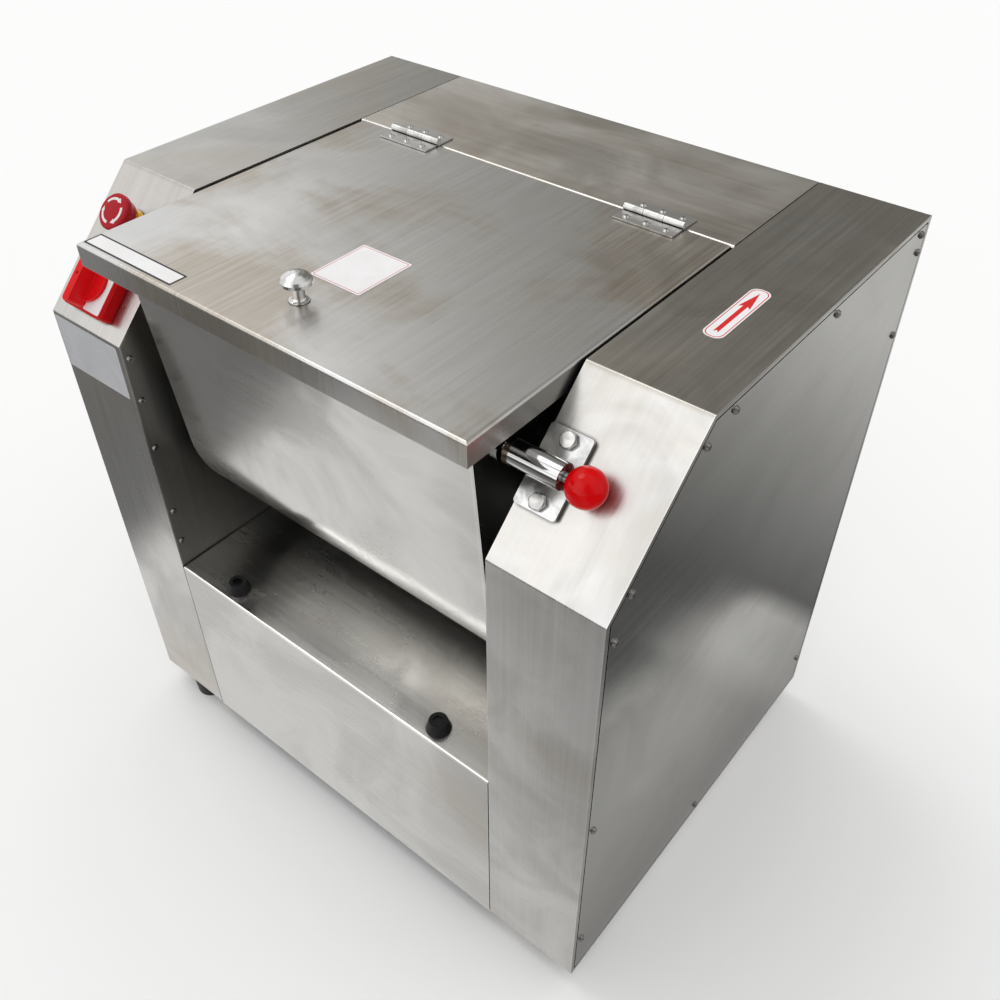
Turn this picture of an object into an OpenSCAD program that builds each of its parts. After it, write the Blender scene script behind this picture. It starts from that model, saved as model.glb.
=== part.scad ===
// Horizontal dough mixer: two side cabinets, a tilting bowl under a hinged lid,
// a kneading agitator through the bowl and a belt and gear drive.
// Lengths are in millimetres. X runs along the mixer shaft, Y from front to back.

/* [Body] */
// Width over both cabinets
body_w = 700; // [660:2:820]
// Depth from the front faces to the rear wall
body_d = 528; // [510:2:640]
// Height of the body without its feet
body_h = 692; // [670:2:780]
// Width of each side cabinet
cabinet_w = 114; // [110:1:140]
// Depth of the sloping control faces
slope_d = 124; // [118:1:136]
// Height of the sloping control faces
slope_h = 121; // [115:1:132]
// Thickness of the sheet metal
sheet = 1.5; // [1:0.25:2]
// Radius of the folded edges
fold_r = 3; // [2:0.5:5]
// Height of the shelf under the bowl
shelf_z = 262; // [250:1:270]
// Thickness of the frame plates
plate_t = 6; // [4:0.5:8]
// Height of the rubber feet
foot_h = 32; // [20:1:50]

/* [Lid] */
// Distance of the lid's hinge line from the front
hinge_y = 354; // [350:1:362]
// How far the lid stands out in front of the cabinets
lid_over = 13.5; // [8:0.5:20]
// Depth of the lid's skirts
lid_skirt = 23; // [12:1:25]
// Gap between the lid and each cabinet
lid_gap = 4; // [2:0.5:6]
// Length of each butt hinge
hinge_l = 66; // [50:1:80]
// Distance of each hinge from the cabinet beside it
hinge_in = 85; // [70:1:110]
// Diameter of the lid knob
knob_d = 29; // [24:1:34]

/* [Bowl] */
// Distance of the mixer shaft from the front
pivot_y = 178; // [176:1:182]
// Distance of the mixer shaft below the top
pivot_drop = 231; // [230:1:240]
// Outer radius of the bowl's round bottom
bowl_r = 142; // [134:1:142]
// Lean of the bowl's front and rear walls in degrees
bowl_lean = 5.2; // [3:0.1:6]
// Height of the bowl's front rim below the top
rim_drop = 32; // [30:1:40]
// Gap between the bowl and each frame plate
bowl_gap = 27; // [24:1:32]
// Thickness of the bowl's curved sheet
bowl_t = 2; // [1.5:0.25:3]
// Thickness of the bowl's end walls
end_t = 3; // [2:0.5:4]
// Angle to which the bowl tips forward in degrees
bowl_tilt = 98; // [90:1:98]

/* [Agitator] */
// Diameter of the mixer shaft
shaft_d = 35; // [28:1:38]
// Gap between the blades and the bowl
blade_gap = 8; // [5:0.5:12]
// Radial depth of the blades
blade_w = 32; // [24:1:40]
// Thickness of the blades
blade_t = 14; // [10:1:18]
// Turn of each blade from end to end in degrees
blade_twist = 70; // [40:5:80]

/* [Drive] */
// Module of the gear teeth
gear_m = 4; // [3.5:0.25:4]
// Teeth on the main gear
gear_teeth = 63; // [55:1:63]
// Teeth on the pinion
pinion_teeth = 15; // [15:1:18]
// Face width of the main gear
gear_w = 26; // [18:1:28]
// Direction of the countershaft from the mixer shaft in degrees
counter_angle = -30; // [-40:1:-25]
// Diameter of the countershaft
counter_d = 25; // [20:1:28]
// Pitch radius of the large pulley
big_pulley_r = 117; // [100:1:120]
// Pitch radius of the motor pulley
small_pulley_r = 33; // [30:1:40]
// Distance of the motor shaft from the front
motor_y = 290; // [270:2:310]
// Height of the motor shaft above its feet
motor_axis_h = 90; // [86:1:100]
// Radius of the motor's housing
motor_r = 78; // [70:1:80]
// Diameter of the motor shaft
motor_shaft_d = 24; // [19:1:28]

/* [Bowl latch] */
// Place of the latch along the right slope
latch_along = 85; // [80:0.5:100]
// Width of the latch plate
latch_w = 40; // [34:1:44]
// Length of the latch plate along the slope
latch_l = 69; // [60:1:76]
// Diameter of the plunger housing
plunger_d = 23; // [20:0.5:24]
// Diameter of the latch pin
latch_pin_d = 12; // [10:0.5:13]
// Diameter of the red ball
ball_d = 33.5; // [28:0.5:35]

/* [Controls] */
// Distance of the controls from the cabinet's outer side
control_in = 57; // [54:1:62]
// Place of the emergency stop along the left slope
estop_along = 118.5; // [114:0.5:124]
// Diameter of the emergency stop's head
estop_d = 38; // [34:1:40]
// Place of the rotary switch along the left slope
switch_along = 46.5; // [44:0.5:54]
// Side of the switch's square housing
switch_w = 63; // [54:1:64]
// Height of the switch's housing
switch_h = 15; // [12:0.5:18]

/* [Hidden] */

// Number of sides that stands for a true curve
round_n = 48;
// Running clearance on the radius of a shaft
run_gap = 0.05;
// Clearance between pieces that are fixed to each other
fit_gap = 0.2;
// Clearance between a moving piece and its stop
stop_gap = 0.4;
// Overrun of a cut through a wall
cut = 1;
// How far a large arc laps over the straight wall that it runs into
lap = 0.05;

// Side flanges of the cabinet shells
lip_w = 5;
seam_gap = 1.5;
flange_w = 22;
inner_flange_w = 16;

// Panels between the cabinets
panel_gap = 1.2;
panel_fold_r = 2;
cover_lip = 10;

// Pan-head screws of the cabinets
pan_head_r = 4;
pan_head_h = 2.4;
pan_shank_r = 2;
screw_in = 14;
inner_screw_in = 8;
// Edge number and share along it for each screw of a side plate
side_screw_shares = [
  [2, 0.01], [2, 0.48], [2, 0.93], [3, 0.1], [3, 0.85], [4, 0.04], [4, 0.52], [4, 0.91],
  [0, 0.49], [1, 0.06], [1, 0.83], [1, 0.97]
];
// Shares of the body's height for the screws in the frame plates
inner_screw_shares = [0.8, 0.725, 0.634, 0.5, 0.433];

// Bumpers under the tipped bowl
bumper_in = 81;
bumper_y = 18.5;
bumper_r = 13.5;
bumper_top_r = 10;
bumper_bore_r = 6;
bumper_screw_r = 3;
bumper_seat = 8;

// Feet
foot_in = 56;
foot_y = 25;
drive_foot_y = 45;
foot_r = 21;
foot_top_r = 23;
stud_r = 5;
stud_h = 14;
nut_h = 6;

// Chassis
beam_w = 40;
beam_t = 4;
tie_w = 30;
tie_z = 610;
motor_plate_t = 6;
motor_plate_l = 355;
motor_plate_in = 31;

// Ventilation slots in the rear wall
slot_w = 70;
slot_h = 7;
slot_pitch = 18;
slot_rows = 7;
slot_z = 70;
slot_x = 90;

// Hinges
leaf_d = 22;
leaf_t = 2;
knuckle_r = 4;
hinge_pin_r = 2.5;
knuckle_gap = 0.5;
rivet_r = 2;
rivet_head_r = 3.3;
rivet_head_h = 1.7;

// Lid rests on the frame plates
rest_y = 200;
rest_w = 30;
rest_t = 3;
rest_drop = 16;

// Lid knob
knob_y = 45;
knob_h = 27;
knob_neck_r = 5.5;
knob_foot_r = 9;
knob_screw_r = 2.5;

// Bowl rims, hubs and seals
bead_r = 4;
rear_rim_gap = 3.5;
hub_flange_r = 58;
hub_flange_t = 6;
hub_boss_r = 44;
hub_gap = 2.5;
sleeve_r = 32;
sleeve_bore_r = 23;
sleeve_inset = 5;
seal_w = 9;
seal_gap = 0.4;
bearing_flange_r = 62;
bearing_flange_t = 10;
bearing_boss_r = 36;
bearing_boss_l = 14;
bush_flange_t = 3;
bolt_circle_share = 0.82;

// Agitator
spider_w = 22;
spider_hub_r = 30;
spider_gap = 6;
spider_arm_w = 34;
collar_r = 24;
collar_t = 8;
blade_slices = 12;

// Gears
pressure_angle = 25;
backlash = 0.5;
tip_share = 0.95;
root_share = 1.2;
flank_steps = 4;
gear_hub_r = 34;
gear_rim = 14;
gear_web_t = 12;
gear_holes = 6;
gear_hole_r = 24;
pinion_extra = 2;

// Belt and pulleys
belt_w = 9;
belt_t = 8;
belt_gap = 0.4;
belt_pitch = 13;
pulley_w = 28;
groove_lean = 1.6;
pulley_rise = 3;
pulley_web_t = 10;
pulley_holes = 5;
pulley_hole_r = 26;
pulley_hub_r = 28;
pulley_gap = 3;
cartridge_r = 31;
cartridge_flange_r = 48;
cartridge_flange_t = 8;

// Motor
motor_l = 215;
motor_fins = 28;
fin_h = 5;
fin_t = 2.5;
shield_l = 18;
fan_cover_l = 52;
fan_cover_t = 2;
fan_r = 58;
fan_blades = 7;
terminal_w = 78;
terminal_h = 34;
motor_foot_w = 34;
motor_foot_t = 10;
motor_gap = 6;

// Latch
latch_plate_t = 5;
latch_lead = 0.5;
plunger_lead = 9.8;
plunger_l = 46.3;
plunger_lift = 12;
plunger_chamber_r = 8.6;
plunger_nose_l = 4;
plunger_cap_l = 4;
latch_ring_t = 5;
latch_bolt_span = 52;
bolt_r = 4;
bolt_flats = 13;
bolt_head_h = 5.3;
bolt_face_share = 0.95;
stem_r = 4;
pin_collar_r = 8;
pin_collar_t = 4;
ball_gap = 3;
ball_socket = 10;
keeper_r = 12;
keeper_h = 8;
spring_wire_r = 0.9;
spring_coils = 5;
spring_steps = 14;
spring_sides = 6;

// Emergency stop
estop_ring_h = 1;
estop_ring_r = 12.6;
estop_collar_h = 8.5;
estop_collar_r = 13;
estop_stem_r = 9.5;
estop_spigot_r = 6;
estop_spigot_l = 12;
estop_press = 5;
estop_neck_r = 16;
estop_head_h = 17.5;
estop_rim_h = 5;
estop_dome = 1.5;
knurls = 30;
knurl_r = 0.9;
barrel_r = 11;
barrel_l = 14;
contact_w = 40;
contact_h = 44;

// Rotary switch
switch_corner_r = 5;
switch_bevel = 2.5;
dial_r = 21.5;
dial_h = 4;
grip_l = 56;
grip_w = 9;
grip_h = 21;
switch_shaft_r = 5;
switch_block_h = 50;

// Electrics
contactor_size = [62, 45, 78];
contactor_y = 300;
contactor_z = 380;
rail_h = 35;
rail_t = 7.5;
rail_l = 150;
gland_in = 57;
gland_z = 72;
gland_r = 10;
gland_hex = 24;
gland_l = 22;

// Places worked out from the sizes above
half_w = body_w / 2;
in_x = half_w - cabinet_w;
control_x = half_w - control_in;
gland_x = half_w - gland_in;
foot_x = half_w - foot_in;
bumper_x = in_x - bumper_in;
hinge_x = in_x - hinge_in;
box_mid_y = (body_d + gland_l - lid_over) / 2;
pivot_z = body_h - pivot_drop;
bowl_x = in_x - bowl_gap;
shaft_r = shaft_d / 2;
slope_angle = atan2(slope_h, slope_d);
cabinet = [
  [0, 0], [body_d, 0], [body_d, body_h], [slope_d, body_h], [0, body_h - slope_h]
];
cover_y = hinge_y + cut / 2;
bay_y = cover_y + sheet + fit_gap;
beam_y = sheet + fit_gap;
motor_base_z = sheet + fit_gap + beam_w + motor_plate_t;
motor_z = motor_base_z + motor_axis_h;
gear_r = gear_m * gear_teeth / 2;
pinion_r = gear_m * pinion_teeth / 2;
counter_y = pivot_y + (gear_r + pinion_r) * cos(counter_angle);
counter_z = pivot_z + (gear_r + pinion_r) * sin(counter_angle);
cabinet_x = in_x + plate_t;
pulley_x = cabinet_x + bearing_flange_t + pulley_gap * 2 + bush_flange_t;
gear_x = pulley_x + pulley_w + pulley_gap;
blade_r = bowl_r - bowl_t - blade_gap;
spider_x = bowl_x - end_t - spider_gap;

// Directions of the bowl's walls: square to the front wall and up along it
wall_out = [-cos(bowl_lean), -sin(bowl_lean)];
wall_up = [-sin(bowl_lean), cos(bowl_lean)];
front_rise = (pivot_drop - rim_drop + bowl_r * sin(bowl_lean)) / cos(bowl_lean);
rear_reach = pivot_drop - sheet - rear_rim_gap - bead_r;
bead_out = bead_r - bowl_t / 2;
rear_rise = sqrt(pow(rear_reach, 2) - pow(bowl_r + bead_out, 2));
tipped_angle = 180 + bowl_lean + bowl_tilt;
bumper_lip_y = bumper_y - bumper_top_r;
tipped_wall_z = pivot_z + (bowl_r - (bumper_lip_y - pivot_y) * cos(tipped_angle)) / sin(tipped_angle);
bumper_h = tipped_wall_z - shelf_z - stop_gap;

// Latch places, in the slope's own plane and along X
latch_x = in_x + latch_lead;
plunger_x = latch_x - plunger_lead;
plunger_z = latch_plate_t + plunger_lift;
latch_y = latch_along * cos(slope_angle) - plunger_z * sin(slope_angle);
latch_z = body_h - slope_h + latch_along * sin(slope_angle) + plunger_z * cos(slope_angle);
pin_tip_x = bowl_x + keeper_h + stop_gap;
pin_collar_x = plunger_x + plunger_nose_l + ball_gap + stop_gap;
plunger_end_x = plunger_x + plunger_l;
latch_ring_r = plunger_d / 2 + fit_gap;
ball_x = plunger_end_x + ball_gap + ball_d / 2;

// Outlines

// Unit vector square to the edge from p to q, pointing into the outline
function edge_in(p, q) = [p.y - q.y, q.x - p.x] / norm(q - p);

// Corners of a convex outline moved inwards by d
function inset(pts, d) = let (n = len(pts)) [
  for (i = [0:n - 1])
    let (a = edge_in(pts[(i + n - 1) % n], pts[i]), b = edge_in(pts[i], pts[(i + 1) % n]))
    pts[i] + d * (a + b) / (1 + a * b)
];

// Point at a share of an outline's edge
function on_edge(pts, i, share) = pts[i] * (1 - share) + pts[(i + 1) % len(pts)] * share;

// Convex outline with round corners
module rounded(pts, r) {
  n = len(pts);
  centres = inset(pts, r);
  polygon([
    for (i = [0:n - 1])
      for (e = [edge_in(pts[(i + n - 1) % n], pts[i]), edge_in(pts[i], pts[(i + 1) % n])])
        centres[i] - r * e
  ]);
  for (c = centres) translate(c) circle(r = r, $fn = round_n);
}

// Band of sheet metal along a round-cornered outline
module band(pts, r, t) {
  difference() {
    rounded(pts, r);
    rounded(inset(pts, t), r - t);
  }
}

// Rectangle between two corners
module rect(a, b) {
  translate(a) square(b - a);
}

// Extrusion along X of an outline drawn in Y and Z
module along_x(x0, x1) {
  translate([x0, 0, 0]) rotate([90, 0, 90]) linear_extrude(x1 - x0) children();
}

// Extrusion along Y of an outline drawn in X and Z
module along_y(y0, y1) {
  translate([0, y1, 0]) rotate([90, 0, 0]) linear_extrude(y1 - y0) children();
}

// Round bar along X
module rod_x(x0, x1, y, z, r) {
  translate([x0, y, z]) rotate([0, 90, 0]) cylinder(h = x1 - x0, r = r, $fn = round_n);
}

// Turned piece about an axis along X, its outline drawn as radius and distance
module turned_x(x, y, z) {
  translate([x, y, z]) rotate([0, 90, 0]) rotate_extrude($fn = round_n) children();
}

// Moves a piece from the body's own corner to the part's origin on the floor
module place() {
  translate([0, -box_mid_y, foot_h]) children();
}

// Places a piece on a sloping face, with local z square to it
module on_slope(x, along) {
  translate([x, 0, body_h - slope_h]) rotate([slope_angle, 0, 0]) translate([0, along, 0])
    children();
}

// Draws a piece on both sides
module both_sides() {
  children();
  mirror([1, 0, 0]) children();
}

// Hexagon with a given distance across its flats
module hexagon(flats) {
  circle(r = flats / 2 / cos(30), $fn = 6);
}

// Hexagon head with its upper corners turned away
module hex_head(flats, h) {
  face_r = flats * bolt_face_share / 2;
  intersection() {
    linear_extrude(h) hexagon(flats);
    cylinder(h = h, r1 = face_r + h / tan(30), r2 = face_r, $fn = round_n);
  }
}

// Pan-head screw with its head above z = 0
module pan_screw(shank) {
  cylinder(h = pan_head_h, r1 = pan_head_r, r2 = pan_head_r * 0.7, $fn = round_n);
  translate([0, 0, -shank]) cylinder(h = shank, r = pan_shank_r, $fn = round_n);
}

// Ring of hexagon bolt heads on a flange that faces away from the middle
module flange_bolts(x, y, z, circle_r, count) {
  for (i = [0:count - 1])
    rotate_about_x(y, z, 360 / count * (i + 0.5))
      along_x(x, x + bolt_head_h) translate([y + circle_r, z]) hexagon(bolt_flats);
}

module rotate_about_x(y, z, angle) {
  translate([0, y, z]) rotate([angle, 0, 0]) translate([0, -y, -z]) children();
}

// Cabinets

// Cabinet shell with its front foot at the given place
module cabinet_shell(front_foot_y) {
  difference() {
    union() {
      along_x(in_x, half_w) band(cabinet, fold_r, sheet);
      along_x(half_w - sheet, half_w) difference() {
        rounded(cabinet, fold_r);
        rounded(inset(cabinet, lip_w), fold_r);
      }
      along_x(half_w - 2 * sheet, half_w - sheet) difference() {
        rounded(cabinet, fold_r);
        rounded(inset(cabinet, flange_w), fold_r);
      }
      along_x(cabinet_x + fit_gap, cabinet_x + fit_gap + sheet) difference() {
        rounded(cabinet, fold_r);
        rounded(inset(cabinet, inner_flange_w), fold_r);
      }
    }
    side_screw_places() cylinder(h = 4 * sheet, r = pan_shank_r + run_gap, center = true, $fn = round_n);
    inner_screw_places() cylinder(h = 4 * plate_t, r = pan_shank_r + run_gap, center = true, $fn = round_n);
    for (y = [front_foot_y, body_d - foot_y])
      translate([foot_x, y, -cut]) cylinder(h = sheet + 2 * cut, r = stud_r + run_gap, $fn = round_n);
  }
}

module left_cabinet_shell() {
  color("silver") place() difference() {
    mirror([1, 0, 0]) cabinet_shell(foot_y);
    on_slope(-control_x, estop_along)
      cylinder(h = 4 * sheet, r = barrel_r + run_gap, center = true, $fn = round_n);
    on_slope(-control_x, switch_along)
      cylinder(h = 4 * sheet, r = barrel_r + run_gap, center = true, $fn = round_n);
    translate([-gland_x, body_d + cut, gland_z]) rotate([90, 0, 0])
      cylinder(h = sheet + 2 * cut, r = gland_r + run_gap, $fn = round_n);
  }
}

module right_cabinet_shell() {
  color("silver") place() difference() {
    cabinet_shell(drive_foot_y);
    latch_bolt_places() cylinder(h = 4 * sheet, r = bolt_r + run_gap, center = true, $fn = round_n);
  }
}

// Places of a side plate's screws, with local z pointing out of the plate
module side_screw_places() {
  seats = inset(cabinet, screw_in);
  for (s = side_screw_shares)
    let (p = on_edge(seats, s[0], s[1]))
    translate([half_w, p.x, p.y]) rotate([0, 90, 0]) children();
}

// Places of the screws in a frame plate, with local z pointing to the bowl
module inner_screw_places() {
  for (s = inner_screw_shares)
    translate([in_x, inner_screw_in, s * body_h]) rotate([0, -90, 0]) children();
}

module side_plate() {
  difference() {
    along_x(half_w - sheet, half_w) rounded(inset(cabinet, lip_w + seam_gap), fold_r);
    side_screw_places() cylinder(h = 4 * sheet, r = pan_shank_r + run_gap, center = true, $fn = round_n);
  }
}

module left_side_plate() {
  color("gainsboro") place() mirror([1, 0, 0]) side_plate();
}

module right_side_plate() {
  color("gainsboro") place() side_plate();
}

module frame_plate() {
  difference() {
    along_x(in_x, cabinet_x) rounded(inset(cabinet, sheet + fit_gap), fold_r - sheet);
    rod_x(in_x - cut, cabinet_x + cut, pivot_y, pivot_z, sleeve_r + run_gap);
    inner_screw_places() cylinder(h = 4 * plate_t, r = pan_shank_r + run_gap, center = true, $fn = round_n);
  }
  lid_rest();
}

// Angle tab under the lid's side skirt
module lid_rest() {
  rest_x = in_x - lid_gap - 4 * sheet;
  top = body_h - lid_skirt - stop_gap;
  translate([rest_x, rest_y, top - rest_t]) cube([in_x - rest_x, rest_w, rest_t]);
  translate([in_x - rest_t, rest_y, top - rest_drop]) cube([rest_t, rest_w, rest_drop]);
}

module left_frame_plate() {
  color("gray") place() mirror([1, 0, 0]) frame_plate();
}

module right_frame_plate() {
  color("gray") place() difference() {
    frame_plate();
    rod_x(in_x - cut, cabinet_x + cut, counter_y, counter_z, cartridge_r + run_gap);
    rod_x(in_x - cut, cabinet_x + cut, motor_y, motor_z, motor_shaft_d);
  }
}

module pan_screws() {
  color("dimgray") place() both_sides() {
    side_screw_places() pan_screw(2 * sheet);
    inner_screw_places() pan_screw(plate_t + fit_gap + sheet);
  }
}

// Panels between the cabinets

module front_panel() {
  corner = [[0, -body_h], [2 * body_d, -body_h], [2 * body_d, shelf_z], [0, shelf_z]];
  color("silver") place() difference() {
    along_x(-in_x + panel_gap, in_x - panel_gap) intersection() {
      band(corner, panel_fold_r, sheet);
      rect([0, 0], [bay_y, shelf_z]);
    }
    for (x = [-bumper_x, bumper_x])
      translate([x, bumper_y, shelf_z - 2 * sheet])
        cylinder(h = 4 * sheet, r = bumper_screw_r + run_gap, $fn = round_n);
  }
}

module bumpers() {
  color("black") place() for (x = [-bumper_x, bumper_x])
    translate([x, bumper_y, shelf_z]) difference() {
      cylinder(h = bumper_h, r1 = bumper_r, r2 = bumper_top_r, $fn = round_n);
      translate([0, 0, bumper_seat]) cylinder(h = bumper_h, r = bumper_bore_r, $fn = round_n);
      translate([0, 0, -cut]) cylinder(h = bumper_h, r = bumper_screw_r + run_gap, $fn = round_n);
    }
}

module bumper_screws() {
  color("silver") place() for (x = [-bumper_x, bumper_x])
    translate([x, bumper_y, shelf_z]) {
      translate([0, 0, bumper_seat])
        cylinder(h = bumper_screw_r, r = bumper_bore_r - fit_gap, $fn = round_n);
      translate([0, 0, -nut_h - sheet])
        cylinder(h = nut_h + sheet + bumper_seat, r = bumper_screw_r, $fn = round_n);
      translate([0, 0, -nut_h - sheet]) cylinder(h = nut_h, r = 2 * bumper_screw_r, $fn = 6);
    }
}

module rear_cover() {
  corner = [[cover_y, -body_h], [body_d, -body_h], [body_d, body_h], [cover_y, body_h]];
  color("silver") place() difference() {
    along_x(-in_x + panel_gap, in_x - panel_gap) intersection() {
      band(corner, fold_r, sheet);
      union() {
        rect([cover_y, body_h - cover_lip], [body_d, body_h]);
        rect([body_d - 2 * fold_r, 0], [body_d, body_h]);
      }
    }
    for (side = [-1, 1])
      for (row = [0:slot_rows - 1])
        along_y(body_d - sheet - cut, body_d + cut)
          translate([side * slot_x, slot_z + row * slot_pitch]) {
            square([slot_w - slot_h, slot_h], center = true);
            for (end = [-1, 1])
              translate([end * (slot_w - slot_h) / 2, 0]) circle(d = slot_h, $fn = round_n);
          }
    hinge_rivet_places(1) cylinder(h = 4 * sheet, r = rivet_r + run_gap, center = true, $fn = round_n);
  }
}

module bay_wall() {
  top = body_h - sheet;
  corner = [[bay_y, 0], [2 * body_d, 0], [2 * body_d, top], [bay_y, top]];
  color("silver") place() difference() {
    along_x(-in_x + fit_gap, in_x - fit_gap) intersection() {
      band(corner, fold_r, sheet);
      rect([bay_y, shelf_z], [bay_y + leaf_d + lip_w, top]);
    }
    hinge_rivet_places(1) cylinder(h = 4 * sheet, r = rivet_r + run_gap, center = true, $fn = round_n);
  }
}

// Angle along X whose corner is at the origin of its outline
module angle_outline() {
  square([beam_t, beam_w]);
  translate([0, beam_w - beam_t]) square([beam_w, beam_t]);
}

module cross_beams() {
  base = sheet + fit_gap;
  color("dimgray") place() {
    along_x(-in_x, in_x) translate([beam_y, base]) angle_outline();
    along_x(-in_x, in_x) translate([body_d - beam_y, base]) mirror([1, 0]) angle_outline();
    along_x(-in_x, in_x) translate([body_d - sheet - tie_w, tie_z]) difference() {
      square(tie_w);
      translate([beam_t, beam_t]) square(tie_w - 2 * beam_t);
    }
  }
}

module motor_plate() {
  color("dimgray") place() difference() {
    translate([in_x - motor_plate_in - motor_plate_l, beam_y, motor_base_z - motor_plate_t])
      cube([motor_plate_l, body_d - 2 * beam_y, motor_plate_t]);
    for (x = motor_foot_places())
      for (side = [-1, 1])
        translate([x, motor_y + side * (motor_r - bolt_flats / 2), motor_base_z - motor_plate_t - cut])
          linear_extrude(motor_plate_t + 2 * cut) {
            square([2 * bolt_r, 4 * bolt_r], center = true);
            for (end = [-1, 1]) translate([0, end * 2 * bolt_r]) circle(r = bolt_r, $fn = round_n);
          }
  }
}

module foot(x, y) {
  translate([x, y, 0]) {
    translate([0, 0, -foot_h]) cylinder(h = foot_h, r1 = foot_r, r2 = foot_top_r, $fn = round_n);
    cylinder(h = stud_h, r = stud_r, $fn = round_n);
    translate([0, 0, sheet]) linear_extrude(nut_h) hexagon(4 * stud_r);
  }
}

module feet() {
  color("black") place() {
    for (y = [foot_y, body_d - foot_y]) foot(-foot_x, y);
    for (y = [drive_foot_y, body_d - foot_y]) foot(foot_x, y);
  }
}

// Hinges

knuckle_l = (hinge_l - 2 * knuckle_gap) / 3;
hinge_z = body_h + knuckle_r;

// Rivet places in the leaves on one side of the hinge line, at the top face
module hinge_rivet_places(side) {
  for (x = [-hinge_x, hinge_x])
    for (i = [-1, 0, 1])
      translate([x + i * hinge_l / 3, hinge_y + side * (knuckle_r + leaf_d) / 2 + side * rivet_r, body_h])
        children();
}

// Leaf on one side of the hinge line, with tongues round the pin at the given knuckles
module hinge_leaf(side, knuckles) {
  near = knuckle_r + knuckle_gap;
  difference() {
    union() {
      translate([-hinge_l / 2, side > 0 ? near : -leaf_d, 0])
        cube([hinge_l, leaf_d - near, leaf_t]);
      for (k = knuckles) {
        x0 = -hinge_l / 2 + k * (knuckle_l + knuckle_gap);
        rod_x(x0, x0 + knuckle_l, 0, knuckle_r, knuckle_r);
        translate([x0, side > 0 ? 0 : -near, 0]) cube([knuckle_l, near, leaf_t]);
      }
    }
    rod_x(-hinge_l, hinge_l, 0, knuckle_r, hinge_pin_r + run_gap);
  }
}

module hinge_leaves(side, knuckles) {
  difference() {
    for (x = [-hinge_x, hinge_x]) translate([x, hinge_y, body_h]) hinge_leaf(side, knuckles);
    hinge_rivet_places(side) cylinder(h = 4 * leaf_t, r = rivet_r + run_gap, center = true, $fn = round_n);
  }
}

module hinge_rivets(side) {
  hinge_rivet_places(side) {
    translate([0, 0, leaf_t]) cylinder(h = rivet_head_h, r1 = rivet_head_r, r2 = rivet_r, $fn = round_n);
    translate([0, 0, -sheet]) cylinder(h = sheet + leaf_t, r = rivet_r, $fn = round_n);
  }
}

module hinge_body_leaves() {
  color("silver") place() hinge_leaves(1, [0, 2]);
}

module hinge_pins() {
  color("gray") place() for (x = [-hinge_x, hinge_x])
    rod_x(x - hinge_l / 2, x + hinge_l / 2, hinge_y, hinge_z, hinge_pin_r);
}

module hinge_body_rivets() {
  color("silver") place() hinge_rivets(1);
}

module hinge_lid_leaves() {
  color("silver") place() hinge_leaves(-1, [1]);
}

module hinge_lid_rivets() {
  color("silver") place() hinge_rivets(-1);
}

// Lid

lid_x = in_x - lid_gap;

// Outer or inner form of the lid, moved inwards by d
module lid_form(d) {
  side = [
    [-lid_over + d, -body_h], [hinge_y * 2, -body_h], [hinge_y * 2, body_h - d], [-lid_over + d, body_h - d]
  ];
  front = [
    [-lid_x + d, -body_h], [lid_x - d, -body_h], [lid_x - d, body_h - d], [-lid_x + d, body_h - d]
  ];
  intersection() {
    along_x(-in_x, in_x) rounded(side, fold_r - d);
    along_y(-body_d, body_d) rounded(front, fold_r - d);
  }
}

module lid_panel() {
  color("silver") place() difference() {
    intersection() {
      lid_form(0);
      along_x(-in_x, in_x) rect([-lid_over, body_h - lid_skirt], [hinge_y - cut / 2, body_h]);
    }
    lid_form(sheet);
    hinge_rivet_places(-1) cylinder(h = 4 * sheet, r = rivet_r + run_gap, center = true, $fn = round_n);
    translate([0, knob_y, body_h - 2 * sheet])
      cylinder(h = 4 * sheet, r = knob_screw_r + run_gap, $fn = round_n);
  }
}

// Half outline of the lid knob: foot, waist and mushroom head
function knob_points() = let (
  r = knob_d / 2,
  cap = knob_h * 0.36,
  under = knob_h - cap
) concat(
  [[0, 0], [knob_foot_r, 0]],
  [for (a = [0:15:90]) [
    knob_foot_r - (knob_foot_r - knob_neck_r) * sin(a),
    (under - 2 * knob_neck_r) * (1 - cos(a)) / 2 + knob_neck_r * 0.2
  ]],
  [for (a = [0:18:90]) [
    knob_neck_r + (r - knob_neck_r) * (1 - cos(a)) * 0.9,
    under - knob_neck_r + knob_neck_r * sin(a)
  ]],
  [for (a = [0:15:90]) [r * cos(a), under + cap * sin(a)]]
);

module lid_knob() {
  color("silver") place() translate([0, knob_y, body_h]) {
    rotate_extrude($fn = round_n) polygon(knob_points());
    translate([0, 0, -nut_h - sheet]) cylinder(h = nut_h + sheet, r = knob_screw_r, $fn = round_n);
    translate([0, 0, -nut_h - sheet]) linear_extrude(nut_h) hexagon(4 * knob_screw_r);
  }
}

// Bowl

// Section of the bowl moved inwards by d, its walls run on above the rims by over
module bowl_section(d, over) {
  r = bowl_r - d;
  centre = [pivot_y, pivot_z];
  front = centre + r * wall_out;
  rear = centre + r * [-wall_out.x, wall_out.y];
  rear_up = [-wall_up.x, wall_up.y];
  polygon([
    front, rear, rear + (rear_rise + over) * rear_up, front + (front_rise + over) * wall_up
  ]);
  translate(centre) circle(r = r + lap, $fn = 4 * round_n);
}

// Middle of the rim bead inside the front wall or behind the rear wall
function front_bead() = [pivot_y, pivot_z] + (bowl_r - bowl_t - bead_out) * wall_out
  + (front_rise - bead_r) * wall_up;
function rear_bead() = [pivot_y, pivot_z] + (bowl_r + bead_out) * [-wall_out.x, wall_out.y]
  + (rear_rise - bead_r) * [-wall_up.x, wall_up.y];

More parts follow.
